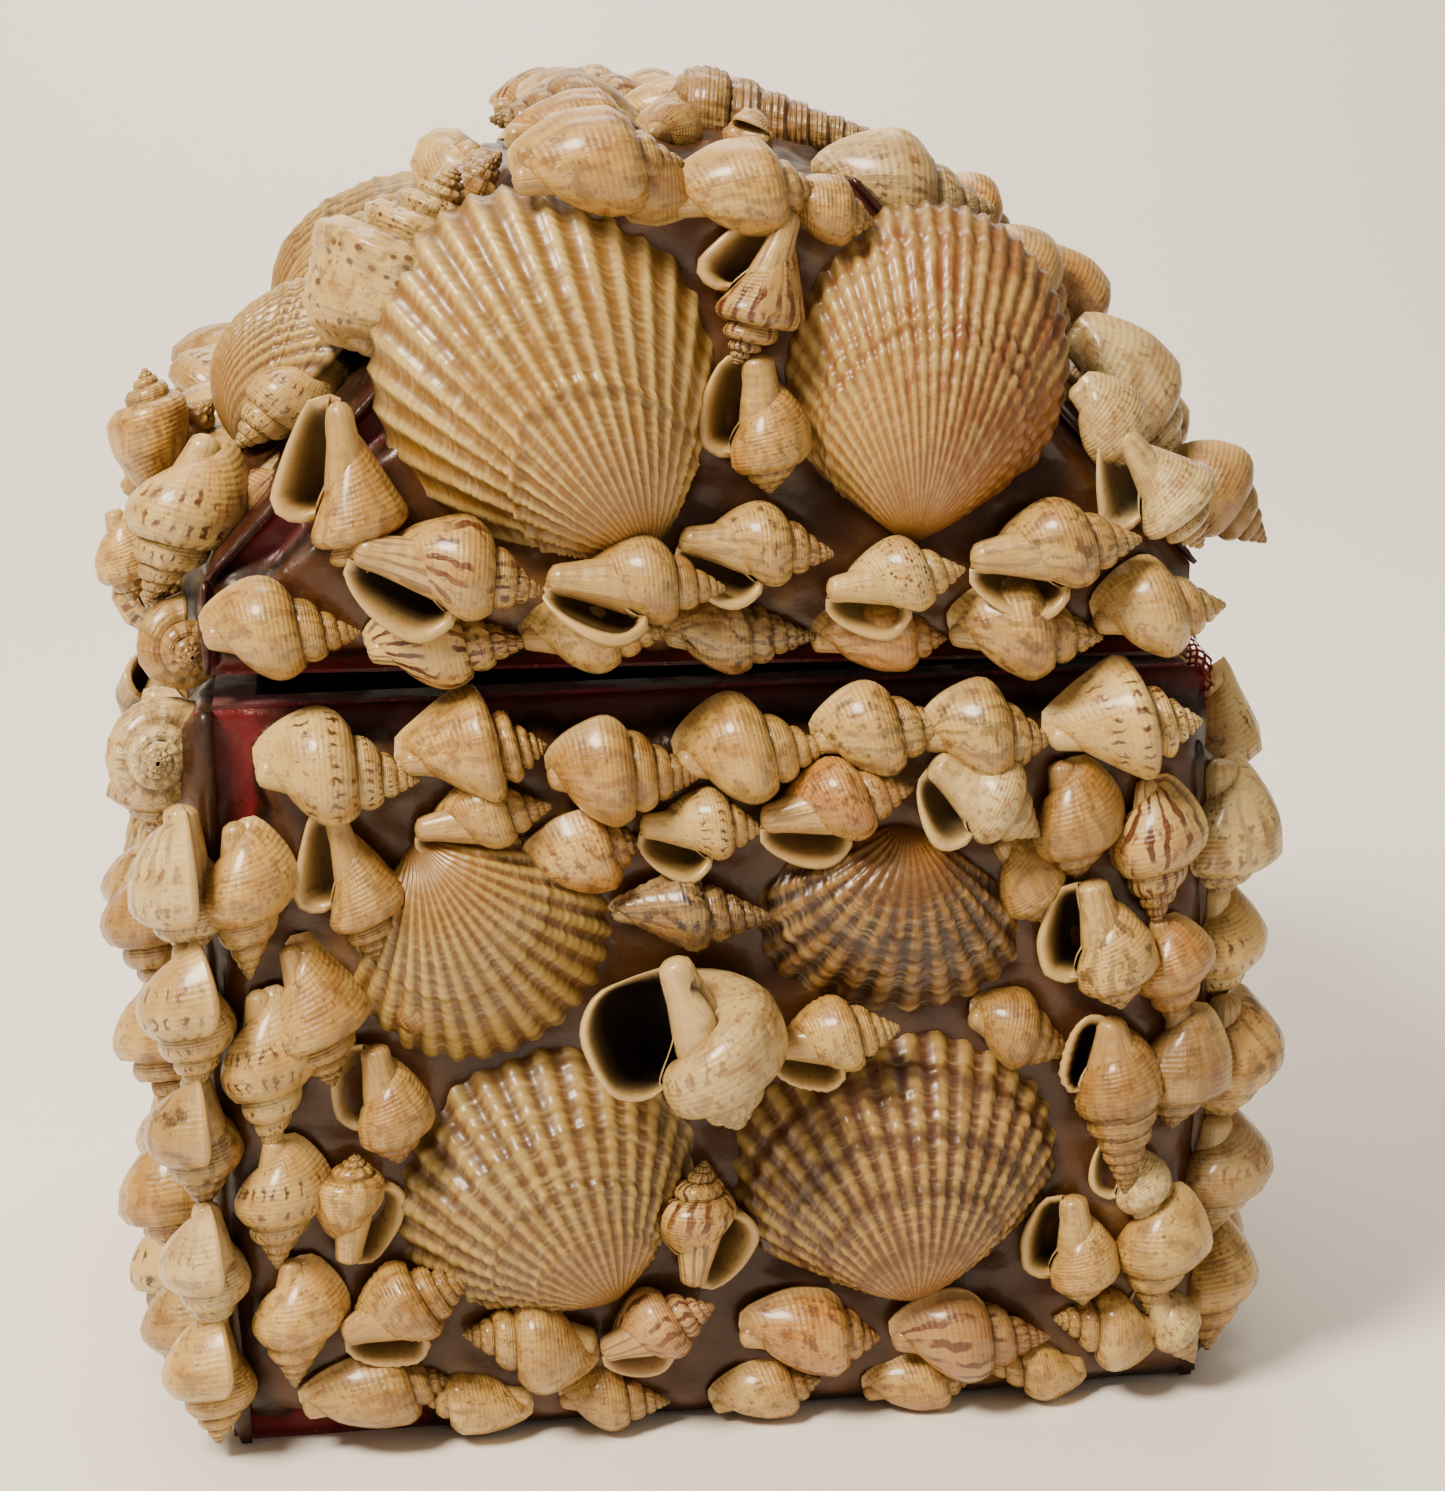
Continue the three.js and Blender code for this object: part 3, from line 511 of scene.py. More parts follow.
FAN_FINISHES = {
    "butter": fan_finish(
        "butter fan", (206, 176, 104), (122, 84, 28), (146, 100, 29), 0.5,
        [(0.5, 0.02, 0.45)], (79, 43, 11), leaning=0.02,
    ),
    "rust": fan_finish(
        "rust fan", (176, 143, 75), (136, 92, 37), (124, 59, 16), 0.75,
        [(0.66, 0.02, 0.5), (0.72, 0.012, 0.4), (0.92, 0.05, 0.35)], (106, 53, 17), leaning=-0.06,
    ),
    "cream": fan_finish(
        "cream fan", (172, 143, 73), (99, 64, 23), (148, 108, 43), 0.35,
        [(0.62, 0.02, 0.3), (0.95, 0.03, 0.35)], (86, 51, 18),
    ),
    "umber": fan_finish(
        "umber fan", (135, 96, 42), (50, 25, 7), (59, 27, 9), 0.85,
        [(0.3, 0.12, 0.6), (0.62, 0.05, 0.6), (0.85, 0.03, 0.3)], (47, 20, 7),
    ),
    "stepped": fan_finish(
        "stepped fan", (167, 137, 71), (91, 59, 23), (112, 77, 30), 0.45,
        [(0.36, 0.02, 0.4), (0.55, 0.02, 0.5), (0.74, 0.02, 0.4), (0.93, 0.03, 0.4)], (73, 44, 16),
    ),
    "lattice": fan_finish(
        "lattice fan", (169, 135, 68), (86, 50, 18), (91, 45, 18), 0.6,
        [(0.3, 0.05, 0.5), (0.5, 0.045, 0.6), (0.68, 0.04, 0.7), (0.86, 0.035, 0.7)], (67, 30, 13),
    ),
}
print(len(FAN_FINISHES), "fan finishes")

# %% [markdown]
# ## Old clear glue
# The shells sit in glue that was poured on thickly and has since yellowed. Where it is thin the
# red cloth shows through, and where it is thick it is a cloudy, brownish cream. Between those, the
# film away from the shells is painted nearly black: dark old glue, and painted shade for the gaps
# between shells. Real light would have to travel through it. Here the mesh carries the thickness
# of the glue on each point, and the colour follows that, which looks alike and renders in a
# fraction of the time.


# %% The glue
def old_glue():
    made, tree, shader = new_material("old glue")
    place = node(tree, "TexCoord").outputs["Object"]
    thick = mark(tree, "thick")
    uneven = times(tree, reckoned(tree, "SUBTRACT", noise(tree, place, 170.0, 5.0), 0.5), 2.4)
    level = plus(tree, thick, times(tree, uneven, stretched(tree, thick, 0.3, 2.0)))
    colour = mixed(tree, stretched(tree, level, 0.2, 0.8), ink(98, 24, 28), ink(58, 20, 12))
    # Thin film away from the shells goes nearly black: dark old glue, and painted shade for the gaps between
    # shells.
    colour = mixed(tree, stretched(tree, level, 0.7, 1.6), colour, ink(32, 15, 6))
    colour = mixed(tree, stretched(tree, level, 2.2, 4.2), colour, ink(76, 44, 18))
    colour = mixed(tree, stretched(tree, level, 4.2, 5.6), colour, ink(132, 96, 48))
    stains = placed_group(tree, DUST_AND_STAINS, {"Patch size": 180.0, "Speck size": 1300.0})
    colour = mixed(tree, times(tree, stains["Specks"], 0.4), colour, ink(84, 52, 24))
    tree.links.new(colour, shader.inputs["Base Color"])
    tree.links.new(stretched(tree, stains["Patches"], 0.0, 1.0, 0.3, 0.6), shader.inputs["Roughness"])
    tree.links.new(stretched(tree, thick, 0.3, 1.5, 0.02, 0.2), shader.inputs["Coat Weight"])
    set_values(shader, {"Coat Roughness": 0.14, "Specular IOR Level": 0.3})
    bumped(tree, shader, noise(tree, place, 600.0, 4.0), 0.5, 0.35 * MM)
    return made


OLD_GLUE = old_glue()
print("Glue on", len(OLD_GLUE.node_tree.nodes), "nodes")

# %% [markdown]
# ## From numbers to a mesh
# Every form below is a cloud of points, a list of faces and a few named numbers on each point.
# Keeping it so until the last moment makes it easy to join thirty small shells into one piece.
# The grid is the workhorse: rows of points, joined four by four.

# %% Forms, grids and pieces
# The marks that a form can carry, and how many numbers each holds on a point.
MARK_SIZES = {"whorl": 3, "fan": 3, "lip": 1, "deep": 1, "crevice": 1, "rib": 1, "reach": 1, "thick": 1}


def grid_faces(rows, columns, first=0, ring=False):
    row = np.arange(rows - 1)[:, None]
    column = np.arange(columns if ring else columns - 1)[None, :]
    following = (column + 1) % columns
    corners = (
        row * columns + column,
        (row + 1) * columns + column,
        (row + 1) * columns + following,
        row * columns + following,
    )
    return (first + np.stack(np.broadcast_arrays(*corners), -1).reshape(-1, 4)).tolist()


def form(points, faces, **marks):
    return {"points": np.asarray(points, float), "faces": faces, "marks": marks, "finish": 0}


def joined(forms):
    """Several forms as one, with every mark present and blank where a form has none."""
    points = np.vstack([f["points"] for f in forms])
    faces, finish, first = [], [], 0
    used = sorted({name for f in forms for name in f["marks"]})
    marks = {name: [] for name in used}
    for f in forms:
        faces += [tuple(first + i for i in face) for face in f["faces"]]
        finish += [f["finish"]] * len(f["faces"])
        count = len(f["points"])
        for name in used:
            blank = np.zeros((count, MARK_SIZES[name])) if MARK_SIZES[name] > 1 else np.zeros(count)
            marks[name].append(f["marks"].get(name, blank))
        first += count
    together = form(points, faces, **{name: np.concatenate(parts) for name, parts in marks.items()})
    together["finish"] = finish
    return together


def piece(name, shape, materials, body, replaced):
    """The form as an object that rides on a body and stands for the nodes it replaces."""
    mesh = bpy.data.meshes.new(name)
    mesh.from_pydata((shape["points"] * MM).tolist(), [], shape["faces"])
    for title, values in shape["marks"].items():
        kind = "FLOAT_VECTOR" if MARK_SIZES[title] > 1 else "FLOAT"
        attribute = mesh.attributes.new(title, kind, "POINT")
        key = "vector" if MARK_SIZES[title] > 1 else "value"
        attribute.data.foreach_set(key, np.asarray(values, np.float32).ravel())
    for material in materials:
        mesh.materials.append(material)
    if len(materials) > 1:
        mesh.polygons.foreach_set("material_index", shape["finish"])
    mesh.shade_smooth()
    mesh.update()
    made = bpy.data.objects.new(name, mesh)
    bpy.context.scene.collection.objects.link(made)
    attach(made, body)
    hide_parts(*replaced)
    return made


def moved(points, matrix):
    turn = np.array(matrix.to_3x3())
    return points @ turn.T + np.array(matrix.translation)


print("Mesh helpers ready")

# %% [markdown]
# ## A shell that grows
# A snail builds its shell by adding to the mouth, and each turn is a fixed share larger than the
# last. So one outline of the whorl, swept round an axis while it grows by the same factor each
# turn, gives the whole shell, with its sutures and its pointed spire. The outline starts at the
# seam with the turn before and ends at the canal. Whelk, olive, turban and turret differ only in
# that outline, the growth per turn and the relief on the surface.

# %% The outlines of the whorled shells
# Points are (distance from the axis, distance below the tip), as shares of the shell's length.
COLUMN = [(0.06, 0.9), (0.06, 0.79), (0.05, 0.68)]
WHORLED = {
    "whelk": {
        "growth": 1.6, "turns": 6.5, "top": (0.18, 0.43), "outer": [(0.227, 0.46), (0.282, 0.56)],
        "base": [(0.22, 0.85)], "canal": (0.1, 0.985),
    },
    "stout": {
        "growth": 1.68, "turns": 6, "top": (0.19, 0.39), "outer": [(0.25, 0.425), (0.32, 0.54)],
        "base": [(0.235, 0.85)], "canal": (0.11, 0.98),
    },
    "pointed": {
        "growth": 1.45, "turns": 8, "top": (0.178, 0.48), "outer": [(0.214, 0.51), (0.255, 0.59)],
        "base": [(0.19, 0.87)], "canal": (0.09, 0.99),
    },
    "ribbed": {
        "growth": 1.5, "turns": 7, "top": (0.185, 0.45), "outer": [(0.24, 0.475), (0.28, 0.56)],
        "base": [(0.215, 0.85)], "canal": (0.1, 0.985), "ribs": 14, "cords": 5,
    },
    "olive": {
        "growth": 1.75, "turns": 5.5, "top": (0.15, 0.27), "outer": [(0.215, 0.31), (0.262, 0.4)],
        "base": [(0.25, 0.66), (0.175, 0.88)], "canal": (0.1, 0.985),
    },
    "conch": {
        "growth": 1.6, "turns": 6.5, "top": (0.17, 0.4), "outer": [(0.262, 0.415), (0.318, 0.5)],
        "base": [(0.175, 0.85)], "canal": (0.085, 1.0), "flare": 0.045,
    },
    "turban": {
        "growth": 1.5, "turns": 7, "top": (0.21, 0.44), "outer": [(0.29, 0.46), (0.355, 0.55)],
        "base": [(0.26, 0.88)], "canal": (0.14, 0.985), "cords": 8,
    },
    "spindle": {
        "growth": 1.42, "turns": 8, "top": (0.16, 0.46), "outer": [(0.2, 0.49), (0.238, 0.57)],
        "base": [(0.135, 0.85)], "canal": (0.06, 1.0), "ribs": 10, "cords": 5,
    },
    "cerith": {
        "growth": 1.27, "turns": 11, "top": (0.2, 0.62), "outer": [(0.235, 0.64), (0.257, 0.7)],
        "base": [(0.19, 0.93)], "canal": (0.1, 1.0), "ribs": 22, "cords": 4,
    },
    "turret": {
        "growth": 1.17, "turns": 14, "top": (0.125, 0.8), "outer": [(0.14, 0.815), (0.148, 0.86)],
        "base": [(0.12, 0.98)], "canal": (0.07, 1.0), "ribs": 20, "cords": 4,
    },
    "moon": {
        "growth": 2.0, "turns": 4.5, "top": (0.25, 0.36), "outer": [(0.36, 0.375), (0.47, 0.48)],
        "base": [(0.47, 0.87), (0.36, 0.98)], "canal": (0.2, 0.99), "wide": True, "flare": 0.0,
    },
}
CORD_RELIEF = 0.005
RIB_RELIEF = 0.011
LIP_FLARE = 0.018
PAUSE_RELIEF = 0.007
WEAR_RELIEF = 0.003
LINE_RELIEF = 0.0012
SEAM_DEPTH = 0.016
print(len(WHORLED), "outlines of whorled shells")

# %% [markdown]
# An outline is given by a handful of points. A smooth curve is laid through them and measured
# along its length, so that the rows of the mesh are evenly spaced.


# %% A smooth curve through a few points
def smooth_curve(points, count):
    points = np.array(points, float)
    ends = (2 * points[0] - points[1], 2 * points[-1] - points[-2])
    p = np.vstack([ends[0], points, ends[1]])
    u = np.linspace(0, 1, 16, endpoint=False)[:, None]
    spans = []
    for i in range(1, len(p) - 2):
        a, b, c, d = p[i - 1 : i + 3]
        bend = (2 * b) + (c - a) * u + (2 * a - 5 * b + 4 * c - d) * u**2
        spans.append((bend + (3 * b - a - 3 * c + d) * u**3) / 2)
    fine = np.vstack([*spans, p[-2][None]])
    run = np.r_[0, np.cumsum(np.hypot(*np.diff(fine, axis=0).T))]
    at = np.linspace(0, run[-1], count)
    return np.column_stack([np.interp(at, run, fine[:, k]) for k in range(2)])


def eased(value, low, high):
    share = np.clip((value - low) / (high - low), 0, 1)
    return share * share * (3 - 2 * share)


print("A curve from (0, 0) to (1, 1):", smooth_curve([(0, 0), (0.3, 0.8), (1, 1)], 4).round(2).tolist())

# %% [markdown]
# The sweep itself. Early turns get few rows, because they are tiny. Turns before the last show
# only their upper part, so the rows there stop just under the next seam. The mouth is the same
# outline closed along the column in the middle: it rounds over the lip and runs back inside. The
# pillar that the whorls wind round shows in the mouth, so it is a form of its own.

# %% Sweep an outline round its axis
OUTLINE_COUNT = 240
FINE_ROWS, FINE_COLUMNS = 17, 16
PLAIN_ROWS, PLAIN_COLUMNS = 11, 10
FINE_CORNERS, PLAIN_CORNERS = 16, 9
# Each ring of the mouth: how far along the turn, how open it is, and how much painted shade it gets.
MOUTH_RINGS = [
    (0.0, 1.0, 0.0), (0.010, 0.98, 0.0), (0.018, 0.9, 0.0), (0.018, 0.8, 0.05), (0.008, 0.7, 0.25),
    (-0.01, 0.62, 0.6), (-0.035, 0.56, 0.85), (-0.075, 0.52, 1.0), (-0.13, 0.48, 1.0), (-0.2, 0.42, 1.0),
    (-0.3, 0.34, 1.0),
]
MOON_COLUMN = [(0.07, 0.88), (0.08, 0.76), (0.09, 0.64)]


def on_axis(turns, across, below):
    """Points at a turn, a distance from the axis and a distance below the tip."""
    angle = math.pi - 2 * math.pi * turns
    return np.stack([-below, across * np.cos(angle), across * np.sin(angle)], -1)


def whorled_form(kind, detailed, seed, dark):
    """A whole shell, tip to the right. Ribs and cords are left out where it isn't detailed."""
    kit = WHORLED[kind]
    fine, columns = (FINE_ROWS, FINE_COLUMNS) if detailed else (PLAIN_ROWS, PLAIN_COLUMNS)
    ribs, cords = (kit.get("ribs", 0), kit.get("cords", 0)) if detailed else (0, 0)
    wide = kit.get("wide", False)
    columns += 2 * cords + 6 * wide
    chance = np.random.default_rng(seed)
    growth, top = kit["growth"], np.array(kit["top"])
    outline = [top, *kit["outer"], growth * top, *kit["base"], kit["canal"], (0.0, kit["canal"][1] - 0.03)]
    curve = smooth_curve(outline, OUTLINE_COUNT)
    share = np.linspace(0, 1, OUTLINE_COUNT)
    seam = share[np.hypot(*(curve - growth * top).T).argmin()]
    slope = np.gradient(curve, share, axis=0)
    outward = np.column_stack([slope[:, 1], -slope[:, 0]]) / np.hypot(*slope.T)[:, None]

    each = max(fine, int(2.6 * ribs)) + 8 * wide
    early = np.linspace(-kit["turns"], -2, int(each * 0.45 * (kit["turns"] - 2)), endpoint=False)
    turn = np.r_[early, np.linspace(-2, 0, 2 * each + 1)][:, None]
    shown = min(seam + 0.08, 1)
    side = (shown + (1 - shown) * eased(turn, -1.4, -1.15)) * np.linspace(0, 1, columns)[None, :]

    phase = chance.uniform(0, 2 * math.pi, 4)
    body = np.sin(math.pi * np.clip(side / seam, 0.02, 1) ** 0.8) ** 0.6
    rib = (0.5 + 0.5 * np.cos(2 * math.pi * ribs * turn)) ** 1.5
    relief = CORD_RELIEF * np.cos(2 * math.pi * cords * side / seam) * (cords > 0)
    relief = relief + RIB_RELIEF * rib * body * (ribs > 0)
    relief = relief + kit.get("flare", LIP_FLARE) * np.exp(turn / 0.03) * eased(side, 0.0, 0.3)
    for pause in chance.uniform(-1.6, -0.25, 3):
        relief = relief + PAUSE_RELIEF * np.exp(-(((turn - pause) / 0.014) ** 2)) * body
    relief = relief + WEAR_RELIEF * (np.sin(9 * turn + phase[0]) + np.sin(23 * turn + 6 * side + phase[1]))
    relief = relief + LINE_RELIEF * np.sin(150 * turn + 3 * np.sin(5 * side) + phase[2])
    relief = relief - SEAM_DEPTH * np.exp(-side / 0.025)

    def along(values):
        return np.interp(side, share, values)

    own = chance.uniform(0, 40)
    size = growth**turn
    across = (along(curve[:, 0]) + relief * along(outward[:, 0])) * size
    below = (along(curve[:, 1]) + relief * along(outward[:, 1])) * size
    across[0] = 0
    below[0] = below[0].mean() * 0.7
    rows = len(turn)
    points = on_axis(turn, across, below).reshape(-1, 3)
    # The crevice mark: painted shade, with some dirt, along the suture and under the next whorl where it
    # overlaps.
    next_seam = 0.5 * np.exp(-np.abs(seam - side) / 0.05) * (turn < -0.95)
    crevice = np.exp(-side / 0.018) + 0.4 * np.exp(-side / 0.08) + next_seam
    whorl = np.stack([
        np.broadcast_to(turn * 2.3, side.shape),
        side,
        np.full(side.shape, own),
    ], -1).reshape(-1, 3)
    outside = form(
        points, grid_faces(rows, columns), whorl=whorl,
        crevice=np.clip(crevice, 0, 1).ravel(),
        lip=(eased(turn, -0.05, 0.0) * np.ones_like(side) * 0.6).ravel(),
    )

    rim = np.column_stack([across[-1, :-1], below[-1, :-1]])
    inner = np.column_stack([
        np.interp(np.linspace(0.86, seam, 5)[:-1], share, curve[:, k]) for k in range(2)
    ]) / growth
    inner[:, 0] += 0.012
    mouth = mouth_form(kit, rim, inner, detailed, own, dark)
    return joined([outside, mouth, pillar_form(kit, fine, seam, own, wide)])


def mouth_form(kit, rim, inner, detailed, own, dark):
    """The hole: the last rim, closed beside the pillar, drawn inwards and back ring by ring, with painted
    shade growing darker inwards.
    """
    rings, corners = (MOUTH_RINGS, FINE_CORNERS) if detailed else (MOUTH_RINGS[::2], PLAIN_CORNERS)
    wide, growth, top = kit.get("wide", False), kit["growth"], np.array(kit["top"])
    column = MOON_COLUMN if wide else COLUMN
    closing = smooth_curve([rim[-1], *column, *(inner[-2:] if wide else inner), rim[0]], corners)[1:-1]
    ring = np.vstack([rim, closing])
    upper = (top + np.array(column[-1])) / 2 + (0.03, 0.02)
    lower = (np.array(kit["canal"]) + np.array(column[0])) / 2
    run = lower - upper
    down = np.clip((ring - upper) @ run / (run @ run), 0.05, 0.85)
    middle = upper + down[:, None] * run
    loops, inner_shading, pale = [], [], []
    for at, open_by, shade in rings:
        share_open = 1 - (0.45 if wide else 1.0) * (1 - open_by)
        loop = (middle + (ring - middle) * share_open) * growth**at
        loops.append(on_axis(np.full(len(ring), at), loop[:, 0], loop[:, 1]))
        # Each ring's painted shade, scaled by the shell's dark value.
        inner_shading.append(np.full(len(ring), shade * dark))
        pale.append(np.full(len(ring), 0.6 * (1 - shade)))
    end = loops[-1].mean(0)
    points = np.vstack([*loops, end[None]])
    faces = grid_faces(len(loops), len(ring), ring=True)
    last = (len(loops) - 1) * len(ring)
    faces += [(last + i, len(points) - 1, last + (i + 1) % len(ring)) for i in range(len(ring))]
    return form(
        points, faces, deep=np.concatenate([*inner_shading, [dark]]), lip=np.concatenate([*pale, [0.0]]),
        whorl=np.tile([0.0, 0.5, own], (len(points), 1)),
    )


def pillar_form(kit, fine, seam, own, slit):
    """The pillar that the whorls wind round, from the whorl before down to the end."""
    low = np.array(kit["base"][-1]) / kit["growth"] * (0.75 if slit else 1.0, 1.0)
    end = np.array(kit["canal"]) * (0.34 if slit else 0.62, 0.97)
    between = [low + (end - low) * t for t in (0.25, 0.5, 0.75)]
    down = smooth_curve([low * (0.7, 0.8), low * (0.97, 0.98), *between, end, (0.0, kit["canal"][1])], fine)
    around = np.linspace(0, 2 * math.pi, fine, endpoint=False)[None, :]
    across, below = down[:, :1] * (1 + 0.05 * np.sin(around + 9 * down[:, 1:])), down[:, 1:]
    groove = np.zeros((fine, fine))
    # The slit is cut in and also painted dark, as shade.
    if slit:
        off = np.hypot((around - 1.3) * 0.2, below - 0.7)
        groove = np.exp(-(((off - 0.13) / 0.03) ** 2)) * (around < 1.3)
        across = across + 0.035 * np.exp(-((off / 0.1) ** 2)) - 0.04 * groove
    points = np.stack([-below + 0 * around, across * np.cos(around), across * np.sin(around)], -1)
    whorl = np.stack([
        np.broadcast_to(around / math.pi, groove.shape),
        np.broadcast_to(seam + (1 - seam) * below, groove.shape),
        np.full(groove.shape, own),
    ], -1)
    return form(
        points.reshape(-1, 3), [f[::-1] for f in grid_faces(fine, fine, ring=True)],
        lip=np.full(groove.size, 0.6 if slit else 0.25), deep=groove.ravel(), whorl=whorl.reshape(-1, 3),
    )


def fitted(shape, length, width, roll):
    """The form rolled about its own axis and brought to its length and width, tip to the right."""
    points = moved(shape["points"], Matrix.Rotation(math.radians(roll), 4, "X"))
    low, high = points.min(0), points.max(0)
    points = points - (low + high) / 2
    reach = high - low
    points[:, 0] *= length / reach[0]
    points[:, 1:] *= width / reach[1]
    shape["points"] = points
    return shape


trial = whorled_form("whelk", True, 1, 0.5)
print("A whelk has", len(trial["points"]), "points and", len(trial["faces"]), "faces")

# %% [markdown]
# ## A fan shell
# A cockle or an ark shell is a dome of ribs that spread from the beak. Its rim is a smooth curve,
# wider than the spread of straight rays would be, and the dome is highest a third of the way out.
# On top of that come the ribs, the beads along each rib, and small steps where growth paused. The
# relief is pushed out along the surface's own normal, so that the ribs stand up on the flanks too.

# %% Build a fan shell
FAN_SPREAD = 66
FAN_EDGE = 0.94
FAN_HALF_WIDTH = 0.53
FAN_RISE = 0.34
STEP_RELIEF = 0.2


def fan_form(length, width, rise, kit, columns, rows, seed):
    chance = np.random.default_rng(seed)
    side = np.linspace(-1, 1, columns)[None, :]
    reach = np.linspace(0, 1, rows)[:, None] ** 0.85
    angle = math.radians(FAN_SPREAD) * side * FAN_EDGE
    rim = np.cos(math.pi / 2 * side * FAN_EDGE) ** 0.35
    wave = 0.5 + 0.5 * np.cos(math.pi * (side + 1) * kit["ribs"])
    rib = np.clip((wave - 1 + kit["fill"]) / kit["fill"], 0, 1) ** 0.7
    rib = np.broadcast_to(rib, (rows, columns))
    far = reach * rim * (1 + 0.014 * rib)
    dome = np.sin(math.pi * np.clip(reach, 0, 1) ** 0.75) ** 0.7 * np.cos(math.pi / 2 * side) ** 0.5
    tall = min(length, width) * rise
    base = np.stack([
        far * np.cos(angle) * length - length / 2,
        far * np.sin(angle) * width / (2 * FAN_HALF_WIDTH),
        tall * dome,
    ], -1)
    normal = np.cross(np.gradient(base, axis=0), np.gradient(base, axis=1))
    normal /= np.maximum(np.linalg.norm(normal, axis=-1, keepdims=True), 1e-9)
    fade = eased(reach, 0.0, 0.35) * (1 - 0.6 * eased(reach, 0.93, 1.0)) * eased(1 - np.abs(side), 0.0, 0.06)
    drift = 0.25 * np.sin(side * 9 + chance.uniform(0, 6)) + 0.15 * np.sin(side * 31)
    bead = 0.5 + 0.5 * np.cos(2 * math.pi * (kit["beads"] * reach**1.1 + drift))
    worn = 0.75 + 0.25 * np.sin(side * 3 + reach * 5 + chance.uniform(0, 6))
    beaded = eased(reach, 0.15, 0.5) * worn
    push = (kit["relief"] * rib * worn + kit["bead"] * (bead - 0.5) * rib**1.3 * beaded) * fade
    for place in kit["steps"]:
        past = reach - place + 0.012 * np.sin(7 * side + place * 20)
        ledge = np.exp(-((past / 0.02) ** 2)) - eased(past, 0.0, 0.02) * np.exp(-past / 0.15)
        push = push + STEP_RELIEF * ledge
    push = push + 0.05 * np.sin(90 * reach + 2 * np.sin(6 * side) + chance.uniform(0, 6)) * fade
    points = base + normal * (push * length / 30)[..., None]
    points[-1, :, 2] = -0.4
    fan = np.stack([
        np.broadcast_to(side * 3, rib.shape),
        np.broadcast_to(reach * 2, rib.shape),
        np.full(rib.shape, chance.uniform(0, 40)),
    ], -1)
    flat_reach = np.broadcast_to(reach, rib.shape)
    # Crevice mark for the rim, the sides and the beak, where the fan meets the glue: dirt and painted shade.
    edge = np.exp(-(1 - flat_reach) / 0.03) + np.exp(-(1 - np.abs(side)) / 0.04) + np.exp(-flat_reach / 0.06)
    underside = tuple((rows - 1) * columns + k for k in range(columns - 1, -1, -1))
    underside += tuple(r * columns for r in range(rows - 2, -1, -1))
    underside += tuple(r * columns + columns - 1 for r in range(1, rows - 1))
    return form(
        points.reshape(-1, 3), [*grid_faces(rows, columns), underside],
        rib=(rib * (0.6 + 0.4 * bead)).ravel(), reach=flat_reach.ravel(),
        fan=fan.reshape(-1, 3), crevice=np.clip(edge, 0, 1).ravel(),
    )


FAN_KITS = {
    "beaded": {"ribs": 21, "beads": 38, "relief": 0.42, "bead": 0.3, "fill": 0.5, "steps": [0.52]},
    "fine": {"ribs": 29, "beads": 24, "relief": 0.24, "bead": 0.1, "fill": 0.8, "steps": [0.64, 0.7, 0.9]},
    "corded": {"ribs": 20, "beads": 26, "relief": 0.5, "bead": 0.22, "fill": 0.8, "steps": [0.62]},
    "knobbly": {"ribs": 16, "beads": 15, "relief": 0.5, "bead": 0.45, "fill": 0.85, "steps": [0.5, 0.8]},
    "stepped": {
        "ribs": 20, "beads": 20, "relief": 0.45, "bead": 0.3, "fill": 0.75,
        "steps": [0.36, 0.55, 0.74, 0.92],
    },
    "lattice": {"ribs": 22, "beads": 22, "relief": 0.42, "bead": 0.34, "fill": 0.75, "steps": [0.5, 0.86]},
}
trial = fan_form(30, 28, FAN_RISE, FAN_KITS["beaded"], 121, 80, 1)
print("A fan has", len(trial["points"]), "points")

# %% [markdown]
# ## Where the shells go
# Each face of the box is a sheet of paper to lay shells out on: X runs to the right, Y up it and
# Z out of it. A shell's place is a share of the face, its turn is the way its tip points, and its
# roll says which side of it looks out: the mouth at 0, its back at 180.

# %% The faces of the body and the lid
SWING = (
    Matrix.Translation(HINGE)
    @ Matrix.Rotation(math.radians(AJAR_ANGLE), 4, "Y")
    @ Matrix.Translation(-HINGE)
)


def face(turn, lean, width, height, out, up, body):
    matrix = (
        Matrix.Rotation(math.radians(turn), 4, "Z")
        @ Matrix.Translation((0, -out, up))
        @ Matrix.Rotation(math.radians(lean), 4, "X")
    )
    if body == "lid":
        matrix = SWING @ matrix
    return {"matrix": matrix, "width": width, "height": height, "body": body, "feet": []}


